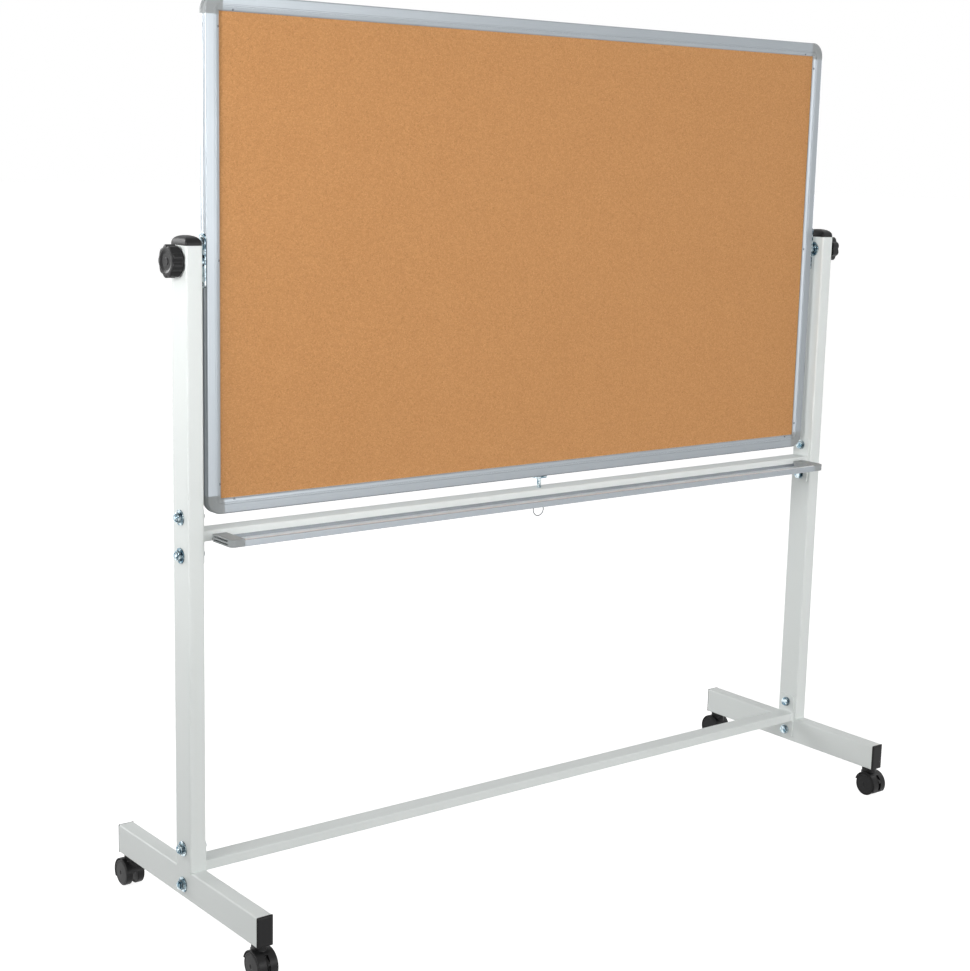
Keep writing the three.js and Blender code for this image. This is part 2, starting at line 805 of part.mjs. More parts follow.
// brake lever in the hood's slot, on its own cross pin
function brakeSolid() {
  const pivot = fromAxle(brakePivotOut, brakePivotUp);
  const lever = shapeOf([
    fromAxle(brakePivotOut - brakeHubRadius, brakePivotUp - brakeHubRadius / 2),
    fromAxle(brakePivotOut, brakePivotUp - brakeHubRadius),
    fromAxle(brakeTipOut, brakeTipUp - brakeTipTall / 2),
    fromAxle(brakeTipOut, brakeTipUp + brakeTipTall / 2),
    fromAxle(brakePivotOut + brakeHubRadius, brakePivotUp + brakeHubRadius / 4),
    fromAxle(brakePivotOut, brakePivotUp + brakeHubRadius / 2),
  ]);
  return join(
    prism(lever, 'x', -brakeThick / 2, brakeThick / 2),
    rod('x', brakeHubRadius, -brakeThick / 2, brakeThick / 2, pivot, fineSteps),
    rod('x', brakePinRadius, -brakePinLong / 2, brakePinLong / 2, pivot, fineSteps),
  );
}

// The whole object

const object = new THREE.Group();
const board = new THREE.Group();
board.position.z = pivotHeight;
object.add(board);

// one geometry for each kind of piece that stands on both sides
const shared = {
  post: geometryOf(postSolid()),
  foot: geometryOf(footSolid()),
  postCap: geometryOf(postCapSolid()),
  footPlug: geometryOf(footPlugSolid()),
  frameBolt: geometryOf(frameBoltSolid()),
  barPlate: geometryOf(barPlateSolid(upperBarMiddle)),
  trayCap: geometryOf(trayCapSolid()),
  longRail: geometryOf(longRailSolid()),
  sideRail: geometryOf(sideRailSolid()),
  frameCorner: geometryOf(frameCornerSolid()),
  pivotPlate: geometryOf(pivotPlateSolid()),
  pivotBolt: geometryOf(pivotBoltSolid()),
  knob: geometryOf(knobSolid()),
  stem: geometryOf(stemSolid()),
  brakedHood: geometryOf(hoodSolid(true)),
  plainHood: geometryOf(hoodSolid(false)),
  wheels: geometryOf(wheelsSolid()),
  brake: geometryOf(brakeSolid()),
};

function casterGroup(name, braked) {
  const caster = new THREE.Group();
  caster.add(
    piece(`${name}_caster_stem`, shared.stem, 'zinc'),
    piece(`${name}_caster_hood`, braked ? shared.brakedHood : shared.plainHood, 'blackPlastic'),
    piece(`${name}_caster_wheels`, shared.wheels, 'blackPlastic'),
  );
  if (braked) caster.add(piece(`${name}_caster_brake`, shared.brake, 'blackPlastic'));
  return caster;
}

for (const [side, sign] of [['left', -1], ['right', 1]]) {
  const standSide = new THREE.Group();
  standSide.scale.x = sign;
  standSide.add(
    piece(`${side}_post`, shared.post, 'powder'),
    piece(`${side}_foot`, shared.foot, 'powder'),
    piece(`${side}_post_cap`, shared.postCap, 'blackPlastic'),
    piece(`${side}_tray_cap`, shared.trayCap, 'greyPlastic'),
    piece(`${side}_upper_bar_plate`, shared.barPlate, 'powder'),
  );
  for (const [end, turn] of [['front', 0], ['rear', Math.PI]]) {
    const plug = piece(`${end}_${side}_foot_plug`, shared.footPlug, 'blackPlastic');
    plug.scale.y = end === 'front' ? -1 : 1;
    const caster = casterGroup(`${end}_${side}`, end === 'front');
    const out = footLength / 2 - casterInset;
    caster.position.set(tubeMiddle, end === 'front' ? -out : out, 0);
    caster.rotation.z = turn;
    standSide.add(plug, caster);
  }
  for (const [bar, middle] of [['upper', upperBarMiddle], ['lower', lowerBarMiddle]]) {
    for (const [place, reach] of [['low', -boltReach], ['high', boltReach]]) {
      const bolt = piece(`${side}_${bar}_bar_${place}_bolt`, shared.frameBolt, 'zinc');
      bolt.position.z = middle + reach;
      standSide.add(bolt);
    }
  }
  object.add(standSide);

  const boardSide = new THREE.Group();
  boardSide.scale.x = sign;
  boardSide.add(
    piece(`${side}_rail`, shared.sideRail, 'anodised'),
    piece(`${side}_pivot_plate`, shared.pivotPlate, 'zinc'),
    piece(`${side}_pivot_bolt`, shared.pivotBolt, 'zinc'),
    piece(`${side}_knob`, shared.knob, 'blackPlastic'),
  );
  for (const [end, up] of [['top', 1], ['bottom', -1]]) {
    const corner = piece(`${end}_${side}_corner`, shared.frameCorner, 'greyPlastic');
    corner.scale.z = up;
    corner.position.set(halfWide, 0, up * halfTall);
    boardSide.add(corner);
  }
  board.add(boardSide);
}

for (const [end, up] of [['top', 1], ['bottom', -1]]) {
  const rail = piece(`${end}_rail`, shared.longRail, 'anodised');
  rail.scale.z = up;
  board.add(rail);
}

board.add(
  piece('cork_sheet', panelSolid(-panelHalf, corkThick - panelHalf), 'cork'),
  piece('board_core', panelSolid(corkThick - panelHalf, panelHalf - sheetThick), 'core'),
  piece('whiteboard_sheet', panelSolid(panelHalf - sheetThick, panelHalf), 'enamel'),
  piece('catch_plate', catchPlateSolid(), 'zinc'),
);

object.add(
  piece('upper_crossbar', upperBarSolid(), 'powder'),
  piece('lower_crossbar', lowerBarSolid(), 'powder'),
  piece('pen_tray', traySolid(), 'anodised'),
  piece('latch_pin', latchPinSolid(), 'zinc'),
  piece('latch_ring', solidOf(latchRingGeometry()), 'wire'),
  piece('latch_spring', latchSpringSolid(), 'wire'),
);

export default object;
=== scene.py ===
import math
import bmesh
import bpy
import numpy as np
from mathutils import Matrix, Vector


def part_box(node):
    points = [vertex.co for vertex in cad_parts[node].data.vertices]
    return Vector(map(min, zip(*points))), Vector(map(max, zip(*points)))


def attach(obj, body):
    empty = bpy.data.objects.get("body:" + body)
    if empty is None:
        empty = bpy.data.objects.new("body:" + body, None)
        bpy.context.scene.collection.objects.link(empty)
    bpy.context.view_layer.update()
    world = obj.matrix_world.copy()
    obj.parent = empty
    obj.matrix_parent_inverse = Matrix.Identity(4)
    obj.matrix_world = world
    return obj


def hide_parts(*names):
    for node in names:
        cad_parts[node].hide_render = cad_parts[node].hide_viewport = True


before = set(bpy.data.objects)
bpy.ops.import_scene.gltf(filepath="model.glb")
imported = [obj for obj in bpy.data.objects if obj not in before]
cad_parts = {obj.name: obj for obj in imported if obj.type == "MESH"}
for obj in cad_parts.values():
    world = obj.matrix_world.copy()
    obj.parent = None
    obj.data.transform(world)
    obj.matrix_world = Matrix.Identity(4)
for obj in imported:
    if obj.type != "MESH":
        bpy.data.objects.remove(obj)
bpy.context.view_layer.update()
mm = 0.001
sides = (("left", -1), ("right", 1))


# Surfaces. Lengths are in millimetres until a piece is added, and a surface is its points and faces.

def boxOf(node):  # lowest and highest corner of a CAD node
    low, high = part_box(node)
    return np.array(low) / mm, np.array(high) / mm


def roundLoop(corners, radii, steps=6):
    # corner P, with unit directions a and b to its neighbours and half angle h, becomes the arc of
    # radius r about P + (a + b) / |a + b| * r / sin h
    p = np.asarray(corners, float)
    r = np.broadcast_to(np.asarray(radii, float), len(p))
    a = np.roll(p, 1, 0) - p
    b = np.roll(p, -1, 0) - p
    a /= np.linalg.norm(a, axis=1, keepdims=True)
    b /= np.linalg.norm(b, axis=1, keepdims=True)
    half = np.arccos(np.clip((a * b).sum(1), -1, 1)) / 2
    middle = a + b
    middle /= np.maximum(np.linalg.norm(middle, axis=1, keepdims=True), 1e-9)
    centre = p + middle * (r / np.sin(half))[:, None]
    reach = (r / np.tan(half))[:, None]
    first = (p + a * reach - centre)[:, None]
    last = (p + b * reach - centre)[:, None]
    t = np.linspace(0, 1, steps)[None, :, None]
    w = (math.pi - 2 * half)[:, None, None]
    arc = (np.sin((1 - t) * w) * first + np.sin(t * w) * last) / np.maximum(np.sin(w), 1e-9)
    keep = (r[:, None] > 0) | (np.arange(steps)[None] == 0)
    return (centre[:, None] + arc)[keep]


def roundRect(width, height, radius, centre=(0, 0), steps=6):
    u, v = width / 2, height / 2
    return roundLoop([(u, -v), (u, v), (-u, v), (-u, -v)], radius, steps) + np.asarray(centre)


def inset(loop, distance):
    # every point moves in along (m + n) / (1 + m . n), where m and n are its two edges' outward normals
    edge = np.roll(loop, -1, 0) - loop
    edge /= np.linalg.norm(edge, axis=1, keepdims=True)
    normal = np.stack([edge[:, 1], -edge[:, 0]], 1)
    before = np.roll(normal, 1, 0)
    mitre = (normal + before) / (1 + (normal * before).sum(1))[:, None]
    ahead = np.roll(loop, -1, 0)
    turn = np.sign((loop[:, 0] * ahead[:, 1] - ahead[:, 0] * loop[:, 1]).sum())
    return loop - mitre * distance * turn


def place(flat, along, axis):
    # flat points (u, v) become (along, u, v), (u, along, v) or (u, v, along)
    u, v = flat[..., 0], flat[..., 1]
    w = np.broadcast_to(along, u.shape)
    return np.stack({"x": (w, u, v), "y": (u, w, v), "z": (u, v, w)}[axis], -1)


def loft(rows, ring=False):
    # faces between the loops rows[i, j] and rows[i + 1, j]; a ring joins the last loop to the first,
    # and otherwise a flat face closes each end
    rows = np.asarray(rows, float)
    m, n = rows.shape[:2]
    i = np.arange(m if ring else m - 1)[:, None]
    j = np.arange(n)[None]
    k, l = (i + 1) % m, (j + 1) % n
    faces = np.stack([i * n + j, i * n + l, k * n + l, k * n + j], -1).reshape(-1, 4).tolist()
    if not ring:
        faces += [list(range(n))[::-1], list(range((m - 1) * n, m * n))]
    return rows.reshape(-1, 3), faces


def endRows(loop, axis, end, inward, ease, steps):
    # at an angle q the loop stands ease (1 - cos q) in from the end and is inset by ease (1 - sin q)
    q = np.linspace(0, math.pi / 2, steps) if ease else np.array([math.pi / 2])
    back, drawn = ease * (1 - np.cos(q)), ease * (1 - np.sin(q))
    return [place(inset(loop, d), end + inward * b, axis) for b, d in zip(back, drawn)]


def bar(loop, axis, start, end, ease=0.0, steps=4):
    # the loop carried from start to end, with edges rounded to the ease
    return loft(endRows(loop, axis, start, 1, ease, steps) + endRows(loop, axis, end, -1, ease, steps)[::-1])


def hollowBar(outer, inner, axis, start, end, ease=0.0, steps=3):
    # the outer loop there and the inner loop back again, as one ring of loops
    there = endRows(outer, axis, start, 1, ease, steps) + endRows(outer, axis, end, -1, ease, steps)[::-1]
    return loft(there + [place(inner, end, axis), place(inner, start, axis)], ring=True)


def roundAngles(steps):  # evenly spaced, once round
    return np.arange(steps) * 2 * math.pi / steps


def compass(t):  # unit vectors (cos t, sin t)
    return np.stack([np.cos(t), np.sin(t)], -1)


def lathe(profile, axis, centre=(0, 0), steps=48):
    # points (r, a) turned about the axis through the centre: (r cos t, r sin t) at a
    profile = np.asarray(profile, float)
    flat = profile[:, None, :1] * compass(roundAngles(steps))[None] + np.asarray(centre)
    return loft(place(flat, profile[:, 1:], axis))


def drum(radius, start, end, axis, centre=(0, 0), steps=48):  # a plain round pin, or a hole's cutter
    return lathe([(0, start), (radius, start), (radius, end), (0, end)], axis, centre, steps)


def roundProfile(points, radii, steps=5):  # an open profile with its inner corners rounded
    radii = np.array(np.broadcast_to(radii, len(points)), float)
    radii[[0, -1]] = 0
    return roundLoop(points, radii, steps)


def hexBody(flats, axis, start, end, centre=(0, 0), cone=(0.5, 0.5), turn=0.0, steps=96):
    # r = min(hexagon at t, 0.97 a + 1.8 d), where d is the distance from an end with a chamfer
    t = roundAngles(steps)
    apothem = flats / 2
    hexagon = apothem / np.cos((t - turn) % (math.pi / 3) - math.pi / 6)
    deep = (2 / math.sqrt(3) - 1) * apothem / math.sqrt(3) + 0.15
    d = np.linspace(0, deep, 5)
    along = np.concatenate([start + d, end - d[::-1]])
    limit = np.concatenate([apothem * 0.97 + d * 1.8 if cone[0] else d + 99,
                            apothem * 0.97 + d[::-1] * 1.8 if cone[1] else d + 99])
    r = np.minimum(hexagon[None], limit[:, None])
    flat = r[..., None] * compass(t)[None] + np.asarray(centre)
    return loft(place(flat, along[:, None], axis))


def thread(radius, axis, start, end, centre=(0, 0), pitch=1.25, deep=0.45, lead=0.8):
    # r = radius - deep |2 frac(a / pitch - t / 2 pi) - 1|, drawn in over the lead at the free end
    t = roundAngles(36)
    a = np.linspace(start, end, int(abs(end - start) / pitch * 8) + 2)[:, None]
    phase = (a / pitch - t[None] / (2 * math.pi)) % 1
    r = radius - deep * np.abs(2 * phase - 1)
    r = np.minimum(r, radius - deep * 0.4 - np.clip(lead - np.abs(end - a), 0, lead) * 0.9)
    flat = r[..., None] * compass(t)[None] + np.asarray(centre)
    return loft(place(flat, a, axis))


def carriedRing(path, section, axis, at):
    # a small section (out, along) carried round a flat loop: path + normal * out, at + along
    return loft([place(inset(path, -out), at + along, axis) for out, along in section], ring=True)


def moved(surface, scale=(1, 1, 1), shift=(0, 0, 0)):
    points, faces = surface
    return points * np.asarray(scale, float) + np.asarray(shift, float), faces


def sided(surfaces, sign):  # as made for the right side, or mirrored for the left
    return [moved(s, (sign, 1, 1)) for s in surfaces]


def meshOf(surface):  # in metres, with shared points merged and normals turned outward
    points, faces = surface
    mesh = bpy.data.meshes.new("surface")
    mesh.from_pydata((points * mm).tolist(), [], faces)
    work = bmesh.new()
    work.from_mesh(mesh)
    bmesh.ops.remove_doubles(work, verts=work.verts, dist=2e-6)
    bmesh.ops.recalc_face_normals(work, faces=work.faces)
    work.to_mesh(mesh)
    work.free()
    return mesh


def carve(surface, tools):  # cuts the tools out of a surface
    main = bpy.data.objects.new("carved", meshOf(surface))
    bpy.context.scene.collection.objects.link(main)
    helpers = []
    for tool in tools:
        helper = bpy.data.objects.new("carver", meshOf(tool))
        bpy.context.scene.collection.objects.link(helper)
        modifier = main.modifiers.new("cut", "BOOLEAN")
        modifier.operation, modifier.solver, modifier.object = "DIFFERENCE", "EXACT", helper
        helpers.append(helper)
    shown = main.evaluated_get(bpy.context.evaluated_depsgraph_get()).to_mesh()
    points = np.empty(len(shown.vertices) * 3, np.float32)
    shown.vertices.foreach_get("co", points)
    faces = [list(face.vertices) for face in shown.polygons]
    for extra in [main, *helpers]:
        mesh = extra.data
        bpy.data.objects.remove(extra)
        bpy.data.meshes.remove(mesh)
    return points.reshape(-1, 3).astype(float) / mm, faces


def addPiece(name, surfaces, body, material, nodes=(), smooth=32):
    # one mesh of closed surfaces that rides on a body and stands for the CAD nodes named
    whole = bmesh.new()
    for surface in surfaces:
        mesh = meshOf(surface)
        whole.from_mesh(mesh)
        bpy.data.meshes.remove(mesh)
    mesh = bpy.data.meshes.new(name)
    whole.to_mesh(mesh)
    whole.free()
    mesh.shade_smooth()
    mesh.set_sharp_from_angle(angle=math.radians(smooth))
    mesh.materials.append(material)
    piece = bpy.data.objects.new(name, mesh)
    bpy.context.scene.collection.objects.link(piece)
    piece.modifiers.new("flatFaces", "WEIGHTED_NORMAL").keep_sharp = True
    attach(piece, body)
    if nodes:
        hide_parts(*nodes)


# Materials. A Tap is an output socket, so that maths on it reads as a plain expression.

class Tap:
    def __init__(self, paint, socket):
        self.paint, self.socket = paint, socket

    def math(self, operation, other=None, first=None):
        left = self if first is None else first
        values = {0: left} if other is None else {0: left, 1: other}
        return self.paint.add("ShaderNodeMath", {"operation": operation}, values)

    def __add__(self, other): return self.math("ADD", other)
    def __radd__(self, other): return self.math("ADD", other)
    def __mul__(self, other): return self.math("MULTIPLY", other)
    def __rmul__(self, other): return self.math("MULTIPLY", other)
    def __sub__(self, other): return self.math("SUBTRACT", other)
    def __rsub__(self, other): return self.math("SUBTRACT", self, first=other)

    def clamped(self):  # kept from 0 to 1
        return self.math("MAXIMUM", 0.0).math("MINIMUM", 1.0)


class Paint:  # a material or world, with one method for all its nodes
    def __init__(self, name, owner=None):
        self.owner = owner or bpy.data.materials.new(name)
        self.owner.use_nodes = True
        self.tree = self.owner.node_tree
        self.tree.nodes.clear()

    def add(self, kind, settings=None, values=None, output=0):
        node = self.tree.nodes.new(kind)
        for key, setting in (settings or {}).items():
            setattr(node, key, setting)
        for key, value in (values or {}).items():
            if isinstance(value, Tap):
                self.tree.links.new(value.socket, node.inputs[key])
            else:
                node.inputs[key].default_value = value
        return Tap(self, node.outputs[output])

    def coordinates(self, scale=(1, 1, 1)):
        where = self.add("ShaderNodeTexCoord", output="Object")
        return self.add("ShaderNodeMapping", values={"Vector": where, "Scale": scale})

    def noise(self, scale, detail=2.0, stretch=(1, 1, 1), roughness=0.5):
        values = {"Vector": self.coordinates(stretch), "Scale": scale, "Detail": detail,
                  "Roughness": roughness}
        return self.add("ShaderNodeTexNoise", values=values)

    def mix(self, factor, first, second):
        return self.add("ShaderNodeMix", {"data_type": "RGBA"}, {0: factor, 6: first, 7: second}, 2)

    def tones(self, factor, look):
        return self.mix(factor, linear(*look["pale"]), linear(*look["dark"]))

    def bump(self, height, distance, strength=1.0):
        values = {"Height": height, "Distance": distance, "Strength": strength}
        return self.add("ShaderNodeBump", values=values)

    def finish(self, shader, kind="ShaderNodeOutputMaterial"):
        output = self.tree.nodes.new(kind)
        self.tree.links.new(shader.socket, output.inputs["Surface"])
        return self.owner

    def surface(self, values):
        return self.finish(self.add("ShaderNodeBsdfPrincipled", values=values))


def linear(red, green, blue):  # a screen colour, 0 to 255, as the shader wants it
    c = np.array([red, green, blue]) / 255
    c = np.where(c <= 0.04045, c / 12.92, ((c + 0.055) / 1.055) ** 2.4)
    return (*c.tolist(), 1)


coatLook = {"pale": (234, 238, 236), "dark": (228, 233, 231), "roughness": 0.38, "peel": 0.00012}
# the plating's darkest colour is painted shade for rims and sides
zincLook = {"bright": (214, 226, 230), "blue": (92, 128, 146), "shadedSide": (20, 34, 44), "roughness": 0.17}
# upper is a painted light colour for faces that look up
aluminiumLook = {"pale": (164, 170, 175), "dark": (148, 154, 159), "upper": (244, 247, 249), "metal": 0.8,
                 "roughness": 0.4}
greyLook = {"pale": (156, 160, 161), "dark": (146, 150, 151), "roughness": 0.45}
blackLook = {"pale": (31, 31, 32), "dark": (21, 21, 22), "roughness": 0.37}
wheelLook = {"pale": (29, 29, 30), "dark": (20, 20, 21), "roughness": 0.33}
corkLook = {"pale": (216, 160, 105), "middle": (200, 144, 90), "dark": (152, 98, 54),
            "fleck": (236, 188, 134), "granule": 330.0}
enamelLook = {"pale": (244, 246, 246), "dark": (236, 240, 241), "roughness": 0.13}
wireLook = {"pale": (120, 124, 128), "dark": (72, 76, 80), "roughness": 0.3}
coreLook = {"pale": (206, 180, 132), "dark": (176, 148, 102)}


def powderCoat():
    look = coatLook
    paint = Paint("powderCoat")
    drift = paint.noise(5, 3)
    peel = paint.noise(520, 2)
    colour = paint.tones(drift, look)
    rough = look["roughness"] + (paint.noise(90, 3) - 0.5) * 0.1
    return paint.surface({"Base Color": colour, "Roughness": rough, "Specular IOR Level": 0.45,
                          "Normal": paint.bump(peel, look["peel"])})


def zincPlate(name, sideShadeWeight):
    look = zincLook
    paint = Paint(name)
    bloom = (paint.noise(130, 2) * 5 - 2.1).clamped()
    fine = paint.noise(1400, 2)
    face = paint.mix(bloom, linear(*look["bright"]), linear(*look["blue"]))
    # painted shade: rims and sides, which look away from the stand's two ends, are painted dark, standing in
    # for the dark reflections the plating shows there
    facing = paint.add("ShaderNodeNewGeometry", output="Normal")
    outward = paint.add("ShaderNodeSeparateXYZ", {}, {0: facing}, 0).math("ABSOLUTE")
    shadedSide = ((0.75 - outward) * 5).clamped() * (0.45 + bloom * 0.5) * sideShadeWeight
    colour = paint.mix(shadedSide, face, linear(*look["shadedSide"]))
    rough = look["roughness"] + (fine - 0.5) * 0.2
    return paint.surface({"Base Color": colour, "Metallic": 1.0, "Roughness": rough,
                          "Normal": paint.bump(fine, 0.00002)})


def anodised(name, along):
    look = aluminiumLook
    paint = Paint(name)
    stretch = {"x": (0.004, 1, 1), "z": (1, 1, 0.004)}[along]
    lines = paint.noise(900, 3, stretch, 0.6)
    cloud = paint.noise(9, 2)
    plain = paint.tones(lines * 0.6 + cloud * 0.4, look)
    # painted light: faces that look up are painted paler, standing in for the reflection of a white ceiling
    facing = paint.add("ShaderNodeNewGeometry", output="Normal")
    rise = paint.add("ShaderNodeSeparateXYZ", {}, {0: facing}, 2)
    colour = paint.mix((rise * 4 - 2.9).clamped(), plain, linear(*look["upper"]))
    rough = look["roughness"] + (lines - 0.5) * 0.16
    return paint.surface({"Base Color": colour, "Metallic": look["metal"], "Roughness": rough,
                          "Normal": paint.bump(lines, 0.00002)})


def moulded(name, look, grain=1500, relief=0.00003, gloss=0.38):
    paint = Paint(name)
    skin = paint.noise(grain, 2)
    cloud = paint.noise(30, 2)
    colour = paint.tones(cloud, look)
    rough = look["roughness"] + (skin - 0.5) * 0.12
    return paint.surface({"Base Color": colour, "Roughness": rough, "Specular IOR Level": gloss,
                          "Normal": paint.bump(skin, relief)})


def corkBoard():
    look = corkLook
    paint = Paint("corkBoard")
    wander = paint.noise(300, 2)
    where = paint.add("ShaderNodeVectorMath", {"operation": "MULTIPLY_ADD"},
                      {0: wander, 1: (0.0012, 0.0012, 0.0012), 2: paint.coordinates()})
    cells = {"Vector": where, "Scale": look["granule"], "Randomness": 1.0}
    tone = paint.add("ShaderNodeTexVoronoi", {"feature": "F1"}, cells, "Color")
    single = paint.add("ShaderNodeSeparateColor", {}, {"Color": tone}, 0)
    edge = paint.add("ShaderNodeTexVoronoi", {"feature": "DISTANCE_TO_EDGE"}, cells, 0)
    seam = (edge * 9).math("MINIMUM", 1.0)
    speck = ((paint.noise(420, 3) - 0.6) * 8).clamped()
    fleck = ((paint.noise(360, 2, (1, 1, 1.3)) - 0.62) * 7).clamped()
    cloud = paint.noise(14, 4, roughness=0.6)
    light = paint.mix(single * 0.6 + cloud * 0.4, linear(*look["middle"]), linear(*look["pale"]))
    seamed = paint.mix((1 - seam) * 0.3, light, linear(*look["dark"]))
    darker = paint.mix(speck * 0.5, seamed, linear(*look["dark"]))
    colour = paint.mix(fleck * 0.35, darker, linear(*look["fleck"]))
    height = seam * 0.6 + single * 0.5 - speck * 0.6
    return paint.surface({"Base Color": colour, "Roughness": 0.86 - single * 0.1, "Specular IOR Level": 0.25,
                          "Normal": paint.bump(height, 0.00025, 0.7)})


def whiteEnamel():
    look = enamelLook
    paint = Paint("whiteEnamel")
    wave = paint.noise(6, 2)
    smear = paint.noise(22, 4, (0.35, 1, 1.4), 0.6)
    colour = paint.tones(smear * 0.25, look)
    rough = look["roughness"] + (smear - 0.45) * 0.12
    return paint.surface({"Base Color": colour, "Roughness": rough, "Coat Weight": 0.3,
                          "Normal": paint.bump(wave, 0.0006)})


def chipCore():
    look = coreLook
    paint = Paint("chipCore")
    chips = paint.noise(350, 4, (0.5, 1, 1))
    colour = paint.tones(chips, look)
    return paint.surface({"Base Color": colour, "Roughness": 0.85 - chips * 0.1,
                          "Normal": paint.bump(chips, 0.0002)})


def steelWire():
    look = wireLook
    paint = Paint("steelWire")
    fine = paint.noise(1200, 2)
    colour = paint.tones(fine, look)
    return paint.surface({"Base Color": colour, "Metallic": 1.0, "Roughness": look["roughness"] + fine * 0.1,
                          "Normal": paint.bump(fine, 0.00002)})


powder = powderCoat()
# the second number weights the painted shade on rims and sides
zinc = zincPlate("zincBolts", 1.0)
zincPlain = zincPlate("zincPlain", 0.25)
railAcross = anodised("anodisedAcross", "x")
railUpright = anodised("anodisedUpright", "z")
greyPlastic = moulded("greyPlastic", greyLook)
blackPlastic = moulded("blackPlastic", blackLook, gloss=0.2)
wheelNylon = moulded("wheelNylon", wheelLook, 900, 0.00002, 0.2)
cork = corkBoard()
enamel = whiteEnamel()
core = chipCore()
wire = steelWire()
print("materials made")


# Posts and feet: one tube, cut square

tubeShape = {"corner": 4.0, "wall": 1.5, "cutEdge": 0.3}


def tubeLoops(low, high, first, second):  # outer and inner loop in the plane of two axes
    middle = (low + high) / 2
    size = high - low
    centre = (middle[first], middle[second])
    wall = tubeShape["wall"]
    outer = roundRect(size[first], size[second], tubeShape["corner"], centre, 7)
    inner = roundRect(size[first] - 2 * wall, size[second] - 2 * wall, tubeShape["corner"] - wall, centre, 7)
    return outer, inner


for side, sign in sides:
    low, high = boxOf(f"{side}_post")
    outer, inner = tubeLoops(low, high, 0, 1)
    post = hollowBar(outer, inner, "z", low[2], high[2], tubeShape["cutEdge"])
    addPiece(f"{side}_post_tube", [post], "stand", powder, [f"{side}_post"])

    footLow, footHigh = boxOf(f"{side}_foot")
    outer, inner = tubeLoops(footLow, footHigh, 0, 2)
    foot = hollowBar(outer, inner, "y", footLow[1], footHigh[1], tubeShape["cutEdge"])
    addPiece(f"{side}_foot_tube", [foot], "stand", powder, [f"{side}_foot"])

    # weld ground flush, filling the foot's round edges under the post's two broad faces
    q = np.linspace(0, math.pi / 2, 7)
    corner = tubeShape["corner"]
    arc = np.stack([corner * (1 - np.cos(q)), corner * (np.sin(q) - 1)], 1)[::-1]
    fill = np.vstack([arc, [[0, 0.4], [corner, 0.4]]])[::-1]
    welds = []
    for face, way in ((high[0], -1), (low[0], 1)):
        loop = np.stack([face + way * fill[:, 0], footHigh[2] + fill[:, 1]], 1)
        welds.append(bar(loop, "y", low[1] + corner * 0.7, high[1] - corner * 0.7))
    addPiece(f"{side}_post_weld", welds, "stand", powder)
print("posts and feet made")


# Caps on the posts and plugs in the feet

capShape = {"rings": 22, "fullness": 0.36, "skirt": 0.6, "insert": 0.86}
plugShape = {"corner": 2.0, "flange": 1.2, "step": 1.3, "bevel": 4.5, "crown": 1.5, "insert": 1.9,
             "ease": 0.3}

for side, sign in sides:
    low, high = boxOf(f"{side}_post_cap")
    postLow, postHigh = boxOf(f"{side}_post")
    middle = (postLow + postHigh)[:2] / 2
    outline = roundRect(*(postHigh - postLow)[:2], tubeShape["corner"], (0, 0), 9)
    # rho times the outline stands H (1 - rho^2)^f above the skirt
    rho = np.sin(np.linspace(math.pi / 2, 0, capShape["rings"]))
    base = postHigh[2] + capShape["skirt"]
    lift = (high[2] - base) * (1 - rho**2) ** capShape["fullness"]
    insert = outline * capShape["insert"] + middle
    rows = [place(insert, low[2], "z"), place(insert, postHigh[2], "z"),
            place(outline + middle, postHigh[2], "z")]
    rows += [place(outline * k + middle, base + h, "z") for k, h in zip(rho, lift)]
    addPiece(f"{side}_post_dome", [loft(rows)], "stand", blackPlastic,
             [f"{side}_post_cap"], 40)

    for end, way in (("front", -1), ("rear", 1)):
        node = f"{end}_{side}_foot_plug"
        low, high = boxOf(node)
        face, back = (low[1], high[1]) if way < 0 else (high[1], low[1])
        centre = ((low[0] + high[0]) / 2, (low[2] + high[2]) / 2)
        footEnd = way * boxOf(f"{side}_foot")[1][1]
        insert, ease, drop, bevel = (plugShape[k] for k in ("insert", "ease", "step", "bevel"))
        flangeEnd = footEnd + way * (plugShape["flange"] + ease)

        def step(drawn):  # the plug's outline drawn in on all sides
            wide, tall = high[0] - low[0] - 2 * drawn, high[2] - low[2] - 2 * drawn
            return roundRect(wide, tall, max(plugShape["corner"] - drawn, 0.5), centre, 6)

        levels = [(insert, back), (insert, footEnd), (ease, footEnd), (0, footEnd + way * ease),
                  (0, flangeEnd - way * ease), (ease, flangeEnd), (drop, flangeEnd)]
        rows = [place(step(drawn), at, "y") for drawn, at in levels]
        # the face rises over the bevel by crown sin(a) while it is drawn in by bevel (1 - cos(a))
        q = np.linspace(0, math.pi / 2, 8)
        rise = min(plugShape["crown"], abs(face - flangeEnd))
        rows += [place(step(drop + bevel * (1 - math.cos(a))), flangeEnd + way * rise * math.sin(a), "y")
                 for a in q[1:]]
        addPiece(f"{node}_cover", [loft(rows)], "stand", blackPlastic, [node])
print("caps and plugs made")


# Crossbars with end plates and weld beads

barShape = {"deep": 40.0, "tall": 20.0, "corner": 3.0, "wall": 1.5, "plateWide": 44.0, "plateTall": 100.0,
            "plate": 3.0, "plateCorner": 5.0, "bead": 2.2, "beadWide": 0.8, "pinHole": 4.7, "tailHole": 3.95}


